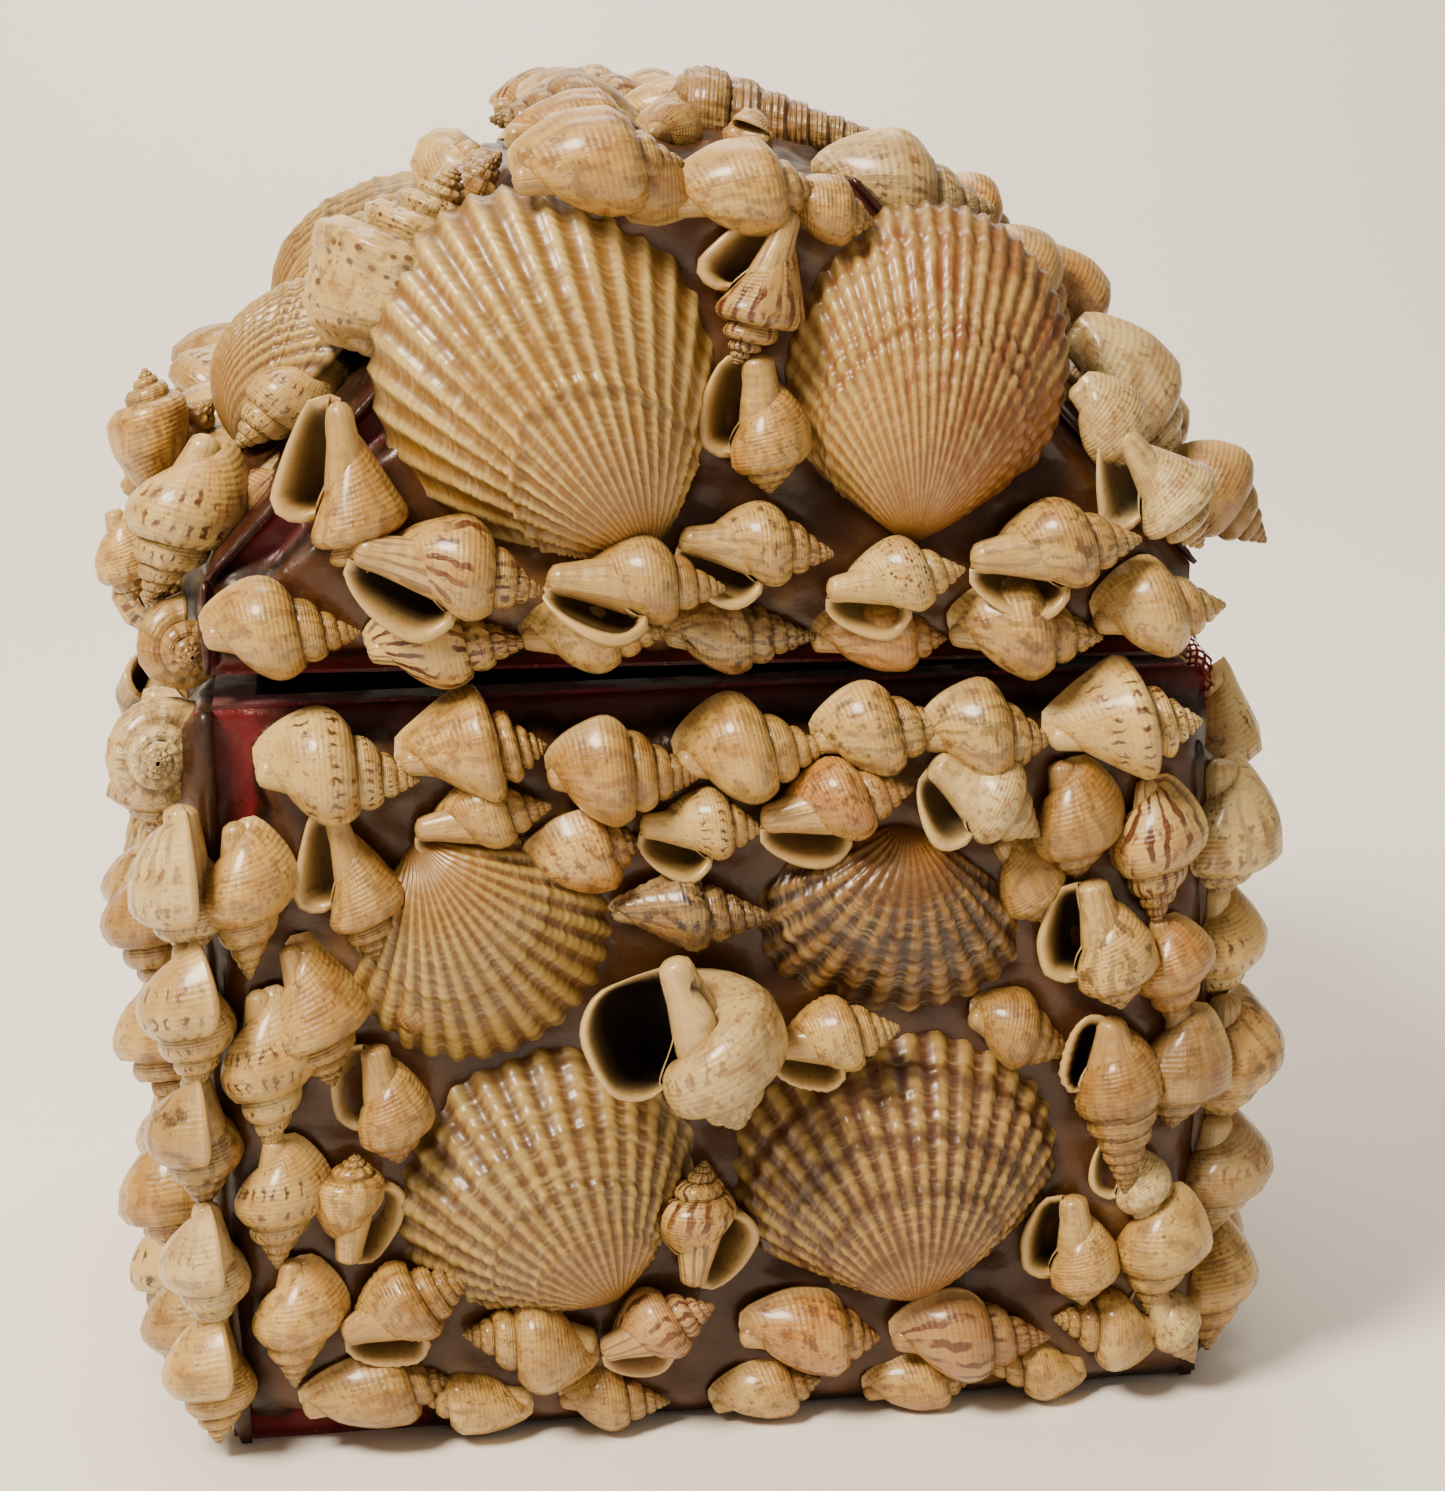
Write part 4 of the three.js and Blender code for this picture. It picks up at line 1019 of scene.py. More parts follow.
HALF_DEPTH = BOX_DEPTH / 2
HALF_WIDTH = BOX_WIDTH / 2
SLOPE_UP = LID_BASE + LID_SIDE_RISE
EDGE_SET_BACK = 12
FACES = {
    "body_front": face(0, 90, BOX_WIDTH, BOX_HEIGHT, HALF_DEPTH, 0, "box"),
    "body_left": face(-90, 90, BOX_DEPTH, BOX_HEIGHT, HALF_WIDTH, 0, "box"),
    "body_right": face(90, 90, BOX_DEPTH, BOX_HEIGHT, HALF_WIDTH, 0, "box"),
    "body_back": face(180, 90, BOX_WIDTH, BOX_HEIGHT, HALF_DEPTH, 0, "box"),
    "lid_front": face(0, 90, BOX_WIDTH, LID_RISE, HALF_DEPTH, LID_BASE, "lid"),
    "lid_back": face(180, 90, BOX_WIDTH, LID_RISE, HALF_DEPTH, LID_BASE, "lid"),
    "lid_left": face(-90, SLOPE_ANGLE, BOX_DEPTH, SLOPE_LENGTH, HALF_WIDTH, SLOPE_UP, "lid"),
    "lid_right": face(90, SLOPE_ANGLE, BOX_DEPTH, SLOPE_LENGTH, HALF_WIDTH, SLOPE_UP, "lid"),
    "lid_top": face(0, 0, CREST_WIDTH, BOX_DEPTH, HALF_DEPTH, LID_BASE + LID_RISE, "lid"),
    "lid_ledge": face(-90, 90, BOX_DEPTH, LID_SIDE_RISE, HALF_WIDTH, LID_BASE, "lid"),
    "lid_edge": face(0, 90, BOX_WIDTH, LID_RISE, HALF_DEPTH - EDGE_SET_BACK, LID_BASE, "lid"),
}
print(len(FACES), "faces")

# %% [markdown]
# A shell is described by its kind, its place, its length and width in millimetres and the way it
# lies. Pressing it in means four steps: make the form, turn it, set its lowest point on the glue
# and note its outline, so that the glue can be poured round it later.

# %% Press one shell into a face
# Whorled shells are laid a little larger than measured, to close the gaps between them.
LENGTH_ALLOWANCE = 1.03
WIDTH_ALLOWANCE = 1.06
FAN_FOOT = 0.6
# Points for each rib of a fan, and rows from its beak to its rim.
FINE_FAN, PLAIN_FAN = (5, 80), (4, 34)
shell_seeds = itertools.count(1)


def shell(kind, across, up, length, width, turn, finish="plain", **more):
    return {
        "kind": kind, "across": across, "up": up, "length": length, "width": width, "turn": turn,
        "finish": finish, **more,
    }


def shell_form(at, spec, detailed=True):
    seed, length, width = next(shell_seeds), spec["length"], spec["width"]
    is_fan = spec["kind"] in FAN_KITS
    if is_fan:
        kit, rise = FAN_KITS[spec["kind"]], spec.get("rise", FAN_RISE)
        per_rib, rows = FINE_FAN if detailed else PLAIN_FAN
        shape = fan_form(length, width, rise, kit, per_rib * kit["ribs"] + 1, rows, seed)
    else:
        # A shell's dark value sets how much painted shade fills its mouth.
        shape = whorled_form(spec["kind"], detailed, seed, spec.get("dark", 0.8))
        roll = spec.get("roll", 180)
        shape = fitted(shape, LENGTH_ALLOWANCE * length, WIDTH_ALLOWANCE * width, roll)
    points = moved(shape["points"], Matrix.Rotation(math.radians(-spec.get("tip", 0)), 4, "Y"))
    points = moved(points, Matrix.Rotation(math.radians(spec["turn"]), 4, "Z"))
    points[:, 2] -= points[:, 2].min()
    x, y = spec["across"] * at["width"], spec["up"] * at["height"]
    points += (x, y, GLUE_TOP + PIECE_GAP + spec.get("lift", 0))
    at["feet"].append((x, y, length / 2, width / 2, spec["turn"], FAN_FOOT if is_fan else 1.0))
    shape["points"] = moved(points, at["matrix"])
    return shape


def material_of(spec):
    return (FAN_FINISHES if spec["kind"] in FAN_KITS else FINISHES)[spec["finish"]]


def named_shell(at, node_name, spec):
    shape = shell_form(at, spec)
    piece(f"{node_name}_natural", shape, [material_of(spec)], at["body"], [node_name])


def shell_cluster(at, name, node_name, specs, detailed=True):
    """Many small shells as one piece, each with a finish of its own."""
    forms, materials = [], []
    for spec in specs:
        material = material_of(spec)
        if material not in materials:
            materials.append(material)
        shape = shell_form(at, spec, detailed)
        shape["finish"] = materials.index(material)
        forms.append(shape)
    made = piece(name, joined(forms), materials, at["body"], [node_name])
    print(name, len(specs), "shells,", len(made.data.polygons), "faces")


print("A shell is described by", list(shell("whelk", 0, 0.5, 15, 10, 90)))

# %% [markdown]
# ## The front of the body
# Two tight rows of whelks run along the top. Below them four big fans fill the middle, with a
# moon shell where they meet, and the smaller shells were tucked into whatever space was left.

# %% Shells on the front of the body
BODY_FRONT = {
    "fan_brown_lattice": shell("lattice", 0.183, 0.345, 29, 33, 97, finish="lattice"),
    "fan_stepped": shell("stepped", -0.182, 0.348, 28, 31, 118, finish="stepped"),
    "fan_cream": shell("corded", -0.246, 0.689, 24, 27, -62, finish="cream"),
    "fan_tan": shell("knobbly", 0.178, 0.688, 20, 28, -100, finish="umber"),
    "moon_shell": shell("moon", -0.042, 0.564, 18, 17.5, -70, lift=1.5, roll=-8, finish="ivory", dark=1.0),
    "top_row_shell_1": shell("whelk", -0.380, 0.932, 15.2, 10.4, -6, roll=170, finish="dashed"),
    "top_row_shell_2": shell("conch", -0.247, 0.949, 14, 10.4, 4, roll=150, finish="waxy"),
    "top_row_shell_3": shell("pointed", -0.096, 0.914, 14.6, 10.4, -3, roll=200, finish="waxy"),
    "top_row_shell_4": shell("whelk", 0.034, 0.932, 14.6, 10.2, 3, roll=170),
    "top_row_shell_5": shell("whelk", 0.168, 0.950, 13.6, 9.2, 4, roll=190, finish="speckled"),
    "top_row_shell_6": shell("stout", 0.276, 0.939, 12.8, 10, -4, roll=185, finish="speckled"),
    "top_row_shell_7": shell("conch", 0.415, 0.946, 15.4, 11.4, 4, roll=165, finish="dashed"),
    "second_row_shell_1": shell("whelk", -0.237, 0.849, 13, 8.6, 8, roll=12, finish="waxy"),
    "second_row_shell_2": shell("olive", -0.138, 0.805, 11.2, 8.2, 12, roll=200, finish="orange"),
    "second_row_shell_3": shell("stout", -0.019, 0.822, 11.8, 8.8, -4, roll=-10, finish="dashed"),
    "second_row_shell_4": shell("whelk", 0.119, 0.846, 15, 10.2, 10, roll=8, finish="orange"),
    "second_row_shell_5": shell("whelk", 0.266, 0.846, 13, 10.6, -36, roll=-15, finish="ivory"),
    "second_row_shell_6": shell("olive", 0.372, 0.815, 12, 9, -82, finish="waxy"),
    "dark_spindle": shell("spindle", -0.030, 0.722, 15.6, 7.8, -4, lift=1, finish="dark"),
    "beaded_mouth_shell": shell("ribbed", 0.111, 0.541, 12.8, 9, 6, lift=2, roll=5),
    "cerith": shell("cerith", 0.410, 0.426, 19, 10, -84, roll=0, finish="waxy", dark=1.0),
    "middle_low_shell": shell("stout", -0.021, 0.297, 13, 10, 84, roll=5, finish="flamed"),
    "left_low_shell": shell("ribbed", -0.334, 0.203, 13.4, 10, 22, roll=5, finish="waxy"),
    "pink_low_shell": shell("whelk", 0.258, 0.115, 16.2, 9.4, -4, roll=190, finish="pink"),
    "left_upper_shell": shell("conch", -0.375, 0.779, 15.4, 9.8, -76, roll=15, finish="waxy"),
    "left_corner_shell": shell("whelk", -0.471, 0.766, 15.4, 9, -88),
}
BODY_FRONT_SMALL = [
    shell("pointed", 0.316, 0.529, 11.5, 7.4, -24, roll=150, finish="waxy"),
    shell("olive", 0.389, 0.648, 13.4, 10.8, -76, roll=8, dark=1.0, finish="speckled"),
    shell("whelk", 0.434, 0.308, 11, 7.6, -70, roll=5, finish="ivory"),
    shell("olive", 0.365, 0.224, 11.6, 9.2, -84, roll=8, dark=0.95),
    shell("olive", -0.378, 0.346, 11, 8.6, 84, roll=20, finish="waxy"),
    shell("olive", -0.350, 0.489, 12, 9, -80, roll=30, finish="waxy"),
    shell("conch", -0.411, 0.615, 15, 9.6, -76, roll=150),
    shell("whelk", -0.457, 0.538, 16.4, 9.4, -88, finish="dashed"),
    shell("whelk", -0.453, 0.360, 13.4, 9, -92, finish="dashed"),
    shell("whelk", -0.442, 0.194, 13.4, 9, -92),
    shell("olive", -0.370, 0.088, 14.4, 7.6, 8, roll=190, finish="waxy"),
    shell("whelk", -0.207, 0.139, 13.4, 9.6, 172, roll=180),
    shell("whelk", -0.074, 0.149, 12, 9, 20, roll=20, finish="pink"),
    shell("olive", 0.088, 0.129, 14, 8.4, -6, finish="orange"),
    shell("whelk", 0.408, 0.100, 11, 8.4, 170),
    shell("whelk", 0.456, 0.768, 15, 9, -86, roll=200, finish="flamed"),
    shell("whelk", 0.478, 0.598, 12, 8, -80, roll=190, finish="tan"),
    shell("olive", 0.488, 0.470, 13, 8.6, -94, roll=200, finish="grey"),
    shell("stout", 0.466, 0.215, 14, 9, -96, roll=200),
    shell("whelk", 0.474, 0.100, 10, 7, -60, roll=10, finish="ivory"),
    shell("olive", 0.205, 0.040, 11, 6, 4, finish="waxy"),
    shell("whelk", 0.330, 0.045, 11, 6.4, 176),
    shell("olive", 0.04, 0.045, 11, 6, 10),
    shell("whelk", -0.12, 0.050, 11, 6.4, -6, finish="waxy"),
    shell("olive", -0.265, 0.055, 11, 6.4, 176),
    shell("olive", -0.31, 0.62, 9, 6, -50, finish="waxy"),
    shell("olive", 0.325, 0.735, 10, 7, -60, finish="waxy"),
]
for node_name, spec in BODY_FRONT.items():
    named_shell(FACES["body_front"], node_name, spec)
shell_cluster(FACES["body_front"], "body_front_small_shells", "body_front_bed", BODY_FRONT_SMALL)
print(len(BODY_FRONT), "named shells on the body")

# %% [markdown]
# ## The front of the lid
# Two large fans stand side by side with their beaks down, whelks fill the gap between them, and a
# double row of whelks runs along the rim. The upper of the two rows sits on the lower one. A
# turban shell and a few others stand on the edges behind, where the slopes begin.

# %% Shells on the front of the lid
LID_FRONT = {
    "lid_fan_left": shell("beaded", -0.157, 0.598, 37, 31, 118, finish="butter"),
    "lid_fan_right": shell("fine", 0.210, 0.613, 32, 27.5, 86, finish="rust"),
    "lid_upper_shell": shell("conch", 0.035, 0.818, 15, 10.4, -110, roll=10, finish="flamed"),
    "lid_pale_shell": shell("olive", 0.036, 0.529, 12.8, 9.8, -84, roll=10, finish="waxy"),
    "lid_flared_shell": shell("conch", -0.371, 0.399, 17.8, 11.6, -84, roll=10, finish="waxy"),
    "lid_toothed_shell": shell(
        "stout", -0.271, 0.231, 17.6, 11.8, -14, lift=2.5, roll=0, dark=1.0, finish="flamed",
    ),
    "lid_pierced_shell": shell("whelk", -0.086, 0.200, 16.6, 9.8, -4, lift=2.5, roll=-40),
    "lid_speckled_shell": shell("whelk", 0.035, 0.262, 14.6, 9.6, -6, lift=1, roll=-15, finish="speckled"),
    "lid_dotted_shell": shell("stout", 0.176, 0.189, 13.2, 9.2, 8, lift=1.5, roll=5, finish="dotted"),
    "lid_spotted_shell": shell("whelk", 0.337, 0.246, 16.4, 10.8, 6, lift=1, roll=-5, finish="speckled"),
    "lid_edge_shell": shell("conch", 0.438, 0.376, 14, 10.8, -54, roll=10, finish="ivory"),
    "lid_rim_shell_1": shell("whelk", -0.268, 0.086, 15, 8.6, 2, finish="flamed"),
    "lid_rim_shell_2": shell("whelk", -0.121, 0.100, 14, 7.6, 2, roll=150),
    "lid_rim_shell_3": shell("pointed", 0.023, 0.096, 14.4, 8, -2, finish="dark"),
    "lid_rim_shell_4": shell("stout", 0.315, 0.092, 15, 9.6, -3, finish="speckled"),
    "lid_crest_shell": shell("olive", 0.026, 1.004, 13.4, 8.6, 6, finish="waxy"),
}
LID_FRONT_SMALL = [
    shell("whelk", -0.430, 0.120, 14.4, 9, 0, roll=170, finish="waxy"),
    shell("olive", 0.166, 0.080, 13, 7, 0, finish="tan"),
    shell("stout", 0.452, 0.132, 13, 9.6, 6),
    shell("olive", -0.118, 1.055, 15.4, 9.4, 6, roll=170, finish="waxy"),
    shell("olive", -0.066, 1.010, 10, 7, 170, finish="waxy"),
    shell("olive", 0.400, 0.520, 10, 7, -50, finish="ivory"),
    shell("olive", 0.110, 0.960, 9, 6, -10, finish="waxy"),
]
LID_EDGE = {
    "turban_shell": shell("turban", -0.306, 0.850, 19.4, 15.6, 62, roll=175, finish="dotted"),
    "lid_shoulder_shell": shell("stout", 0.206, 0.990, 18, 10.4, -8, roll=185, finish="violet"),
    "lid_smooth_shell": shell("olive", 0.446, 0.566, 16.6, 9.8, -46, lift=1, finish="ivory"),
    "lid_corner_shell": shell("whelk", 0.548, 0.326, 13, 9, -40, lift=1, roll=200),
}
LID_LEFT_EDGE = [
    shell("whelk", -0.418, 0.540, 12.5, 8, -136, roll=170, finish="dashed"),
    shell("olive", -0.459, 0.330, 12, 6.6, -134, finish="pink"),
    shell("olive", -0.558, 0.470, 12, 7.6, 100, lift=-6, finish="waxy"),
    shell("whelk", -0.521, 0.305, 17, 11, -112, roll=165, finish="dashed"),
    shell("olive", -0.581, 0.220, 9, 6.6, -80, lift=-3),
    shell("stout", -0.534, 0.050, 9.6, 8.6, 0, tip=78, finish="waxy"),
    shell("olive", -0.235, 0.965, 9, 6, 60, lift=-4, finish="waxy"),
]
LID_RIGHT_EDGE = [
    shell("whelk", 0.342, 0.780, 13.4, 9, -46, roll=170),
    shell("olive", 0.398, 0.740, 12, 8, -50, lift=-5, finish="tan"),
    shell("whelk", 0.302, 0.905, 12, 8, -34, lift=-7, finish="tan"),
    shell("olive", 0.488, 0.460, 12, 8, -50, lift=-5, finish="waxy"),
]
for node_name, spec in LID_FRONT.items():
    named_shell(FACES["lid_front"], node_name, spec)
for node_name, spec in LID_EDGE.items():
    named_shell(FACES["lid_edge"], node_name, spec)
shell_cluster(FACES["lid_front"], "lid_front_small_shells", "lid_front_bed", LID_FRONT_SMALL)
shell_cluster(FACES["lid_edge"], "lid_left_edge_shells", "lid_left_bed", LID_LEFT_EDGE)
shell_cluster(FACES["lid_edge"], "lid_right_edge_shells", "lid_right_bed", LID_RIGHT_EDGE)
print(len(LID_FRONT), "named shells on the lid's front")

# %% [markdown]
# ## The slopes and the crest of the lid
# The picture hardly shows these faces. Fans fill the slopes above short columns of whelks, and on
# top a long turret shell lies over its neighbours. Nothing laid by hand is even, so each shell of
# a column is moved, turned and sized a little differently from the last.

# %% Rows of shells with a small change from each to the next
FACTOR, PRIME = 16807, 2147483647
chain = {"last": 7}


def vary(amount):
    """A number between -amount and amount, from a chain that runs the same way every time."""
    chain["last"] = chain["last"] * FACTOR % PRIME
    return (chain["last"] / PRIME * 2 - 1) * amount


ROW_FORMS = ["whelk", "stout", "ribbed", "whelk", "conch", "olive"]
ROW_FINISHES = ["flamed", "plain", "dashed", "ivory", "violet", "waxy", "speckled"]
FAN_LOOKS = [("corded", "cream"), ("stepped", "stepped"), ("fine", "butter"), ("lattice", "rust")]


def row_of_shells(columns, rows, thickness, roll=150, lift=0):
    shells = []
    for up in rows:
        for across in columns:
            number = len(shells) + int(up * 10)
            across_here, up_here = across + vary(0.015), up + vary(0.015)
            length, width, turn = 14.4 + vary(1), thickness + vary(0.8), -90 + vary(9)
            shells.append(shell(
                ROW_FORMS[number % 6], across_here, up_here, length, width, turn,
                finish=ROW_FINISHES[number % 7], roll=roll + 25 * math.sin(number * 2.4), lift=lift,
            ))
    return shells


def fans_at(places):
    fans = []
    for (across, up, size), (kind, finish) in zip(places, FAN_LOOKS):
        turn = 90 + vary(14)
        fans.append(shell(kind, across, up, size * 0.96, size * 1.04, turn, rise=0.36, finish=finish))
    return fans


print("Rows draw on", len(ROW_FORMS), "forms and", len(ROW_FINISHES), "finishes")

# %% [markdown]
# With rows and fans at hand, each slope takes a few lines. The shells nearest the camera are laid
# one by one and made in full detail, and those further back are plainer.

# %% Shells on the lid's left slope, right slope, crest and back
shell_cluster(FACES["lid_left"], "lid_left_near_shells", "lid_left_bed", [
    shell("fine", 0.32, 0.42, 23, 24, 112, lift=3, finish="cream", rise=0.36),
    shell("whelk", 0.30, 0.07, 16, 10.5, -84),
    shell("olive", 0.3, 0.1, 13, 8, 80, lift=5, finish="waxy"),
])
shell_cluster(FACES["lid_left"], "lid_left_small_shells", "lid_left_bed", [
    *fans_at([[0.08, 0.6, 27], [-0.28, 0.6, 30]]),
    *row_of_shells([0.17, 0.03, -0.11, -0.25, -0.41], [0.17], 11),
], False)
LEDGE_PLACES = [0.27, 0.1, -0.07, -0.23, -0.39]
shell_cluster(FACES["lid_ledge"], "lid_ledge_small_shells", "lid_left_bed", [
    shell("whelk", across, 0.56, 14, LID_SIDE_RISE * 1.05, 174 if i % 2 else 6, finish=ROW_FINISHES[i])
    for i, across in enumerate(LEDGE_PLACES)
], False)
shell_cluster(FACES["lid_right"], "lid_right_small_shells", "lid_right_bed", [
    shell("whelk", -0.28, 0.12, 12, 8.6, -120),
    shell("whelk", -0.26, 0.34, 12, 9, 70, finish="flamed"),
    *fans_at([[-0.04, 0.66, 28], [0.3, 0.64, 30]]),
    *row_of_shells([-0.1, 0.06, 0.22, 0.39], [0.22], 10),
], False)
named_shell(
    FACES["lid_top"], "turret_shell",
    shell("turret", 0.4, 0.25, 26, 8.6, -12, tip=-10, finish="grey"),
)
shell_cluster(FACES["lid_top"], "lid_top_small_shells", "lid_top_bed", [
    shell("olive", -0.43, 0.13, 14, 9.4, 8, lift=-1.2, finish="tan"),
    shell("whelk", -0.42, 0.26, 15, 9.4, 184, finish="grey"),
    shell("whelk", 0.05, 0.41, 16, 8.6, 12),
    shell("conch", -0.1, 0.58, 17, 9, 190, finish="flamed"),
    shell("whelk", 0.1, 0.74, 16, 9, 5, finish="ivory"),
    shell("pointed", -0.08, 0.89, 16, 9, -8, finish="dotted"),
])
shell_cluster(FACES["lid_back"], "lid_back_small_shells", "lid_back_bed", [
    shell("beaded", 0, 0.58, 29, 31, 90, rise=0.36, finish="cream"),
    shell("whelk", -0.36, 0.22, 16, 10, 100, finish="flamed"),
    shell("pointed", -0.24, 0.2, 15, 10, 80),
    shell("whelk", 0.24, 0.2, 15, 10, 98, finish="ivory"),
    shell("conch", 0.37, 0.22, 16, 10, 84, finish="dotted"),
    shell("whelk", -0.24, 0.6, 15, 10, 60, finish="speckled"),
    shell("whelk", 0.24, 0.6, 15, 10, 120),
], False)

# %% [markdown]
# ## The sides and the back of the body
# Columns of whelks with their tips down stand at the corners, where the picture shows them, and
# fans fill the middle of each side.

# %% Shells on the left, right and back of the body
shell_cluster(FACES["body_left"], "body_left_near_shells", "body_left_bed", [
    *row_of_shells([0.56], [0.125, 0.28, 0.45, 0.62, 0.79], 10, roll=150, lift=-2.6),
    shell("stout", 0.45, 0.93, 12, 10, 8, roll=140, lift=-1, finish="ivory"),
])
shell_cluster(FACES["body_left"], "body_left_small_shells", "body_left_bed", [
    *row_of_shells([0.37, 0.245], [0.11, 0.3, 0.49, 0.68, 0.86], 10.4, roll=140),
    *fans_at([[0.01, 0.68, 28], [-0.32, 0.74, 27], [0.0, 0.25, 26], [-0.31, 0.27, 30]]),
    *row_of_shells([-0.15], [0.5], 10.4),
], False)
corner_column = row_of_shells([-0.5], [0.125, 0.28, 0.44, 0.61, 0.78], 9.4, roll=205, lift=-2.8)
shell_cluster(FACES["body_right"], "body_right_near_shells", "body_right_bed", corner_column)
shell_cluster(FACES["body_right"], "body_right_small_shells", "body_right_bed", [
    *row_of_shells([-0.37, -0.25], [0.12, 0.31, 0.5, 0.69, 0.86], 8.6, roll=215, lift=-0.6),
    *fans_at([[-0.03, 0.58, 25], [0.31, 0.6, 26], [-0.02, 0.21, 24], [0.3, 0.22, 25]]),
    *row_of_shells([0.14], [0.42], 8),
], False)
shell_cluster(FACES["body_back"], "body_back_small_shells", "body_back_bed", [
    *row_of_shells([-0.42, -0.25, -0.08, 0.08, 0.25, 0.42], [0.88], 10),
    *fans_at([[-0.28, 0.58, 28], [0.26, 0.57, 30], [-0.22, 0.2, 27], [0.27, 0.19, 26]]),
    *row_of_shells([0.02], [0.36], 10),
], False)

# %% [markdown]
# ## Small shells in the gaps
# Whoever made this box filled every hole with the smallest shells left in the bag. The same can be
# done by rule: look for the spot with the most room around it, put a shell there that just fits,
# and go on until no gap is wide enough. The front was laid out one by one, so the rule fills the other faces.

# %% Tuck small shells into the gaps
SMALLEST_GAP = 2.6
LARGEST_TUCKED = 5.2
SEARCH_STEP = 1.2
ROOM_AT_EDGE = 0.6
ROOM_AT_SIDE = 2
ROOM_AT_SLANT = 1.5
SLANT_INSET = 0.5
TUCKED_LENGTH, TUCKED_WIDTH = 1.28, 0.86
TUCKED_FORMS = ["whelk", "olive", "stout", "pointed"]
TUCKED_FINISHES = ["plain", "waxy", "flamed", "grey", "dashed", "tan"]


def straight(half):
    return lambda up: half


def lid_half_width(up):
    return HALF_WIDTH - SLANT_INSET - max(0, up - LID_SIDE_RISE) / math.tan(math.radians(SLOPE_ANGLE))


def gap_beside(foot, x, y):
    """Roughly how far each point is from a shell's outline: less than nothing under the shell."""
    foot_x, foot_y, long, wide, turn, _ = foot
    c, s = math.cos(math.radians(turn)), math.sin(math.radians(turn))
    u, v = (x - foot_x) * c + (y - foot_y) * s, (y - foot_y) * c - (x - foot_x) * s
    return (np.hypot(u / long, v / wide) - 1) * min(long, wide)


def tucked_shells(at, name, node_name, low, high, left, right, half_width, seed):
    chance = np.random.default_rng(seed)
    x, y = np.meshgrid(np.arange(left, right, SEARCH_STEP), np.arange(low, high, SEARCH_STEP))
    half = np.vectorize(half_width)(y)
    beside = np.minimum(x - left, right - x) + ROOM_AT_SIDE
    room = np.minimum(np.minimum(y - low, high - y), beside) + ROOM_AT_EDGE
    room = np.minimum(room, half - np.abs(x) + ROOM_AT_SLANT)
    for foot in at["feet"]:
        room = np.minimum(room, gap_beside(foot, x, y))
    specs = []
    while room.max() > SMALLEST_GAP:
        spot = np.unravel_index(room.argmax(), room.shape)
        radius = min(room[spot], LARGEST_TUCKED) * chance.uniform(0.92, 1.06)
        long, wide, turn = TUCKED_LENGTH * radius, TUCKED_WIDTH * radius, chance.uniform(-180, 180)
        number = len(specs)
        specs.append(shell(
            TUCKED_FORMS[number % 4], x[spot] / at["width"], y[spot] / at["height"], 2 * long, 2 * wide, turn,
            finish=TUCKED_FINISHES[number % 6], roll=chance.uniform(140, 230),
        ))
        room = np.minimum(room, gap_beside((x[spot], y[spot], long, wide, turn, 1.0), x, y))
    shell_cluster(at, name, node_name, specs, False)


# Each face: the lowest and highest place for a shell, the furthest left and right, and its half width.
TUCKED = [
    ("body_left", 1, BOX_HEIGHT - 3, -36, 38, straight(HALF_DEPTH)),
    ("body_right", 1, BOX_HEIGHT - 11, -38, 36, straight(HALF_DEPTH)),
    ("body_back", 1, BOX_HEIGHT - 3, -44, 44, straight(HALF_WIDTH)),
    ("lid_back", 2, LID_RISE - 2, -44, 44, lid_half_width),
    ("lid_left", 2, SLOPE_LENGTH - 2, -36, 20, straight(HALF_DEPTH)),
    ("lid_right", 7, SLOPE_LENGTH - 2, -18, 36, straight(HALF_DEPTH)),
    ("lid_top", 14, BOX_DEPTH - 2, -40, 40, straight(CREST_WIDTH / 2)),
]
for seed, (name, *limits) in enumerate(TUCKED, 42):
    tucked_shells(FACES[name], f"{name}_tucked_shells", f"{name}_bed", *limits, seed)

# %% [markdown]
# ## The beds of glue
# Each face has one bed. It is a height field: a thin film everywhere, which climbs in a soft
# fillet round every shell, because glue creeps up what is pressed into it. The sum of those
# fillets, held below a limit, is the thickness of the glue, and the colour reads the same number.
# In a few places the glue has come away, and there only a trace of it is left on the cloth.

# %% Pour the glue round the shells
GLUE_FILM = 1.1
GLUE_RISE = 3.9
GLUE_CREEP = 2.3
GRID_STEP = 1.0
OVER_EDGE = 1.8
FILLET_SHARE = 0.7
UNEVENNESS = 0.6
GLUE_TRACE = 0.12
EDGE_THINNING, EDGE_ROUND = 0.55, 2.4
WAVES = 7


def rolling(x, y, chance):
    """A gentle unevenness: a few waves in random directions, between -1 and 1."""
    total = 0
    for _ in range(WAVES):
        bearing, pitch, start = chance.uniform(0, math.pi), chance.uniform(3, 9), chance.uniform(0, 6)
        total = total + np.sin((x * math.cos(bearing) + y * math.sin(bearing)) * 2 * math.pi / pitch + start)
    return total / WAVES


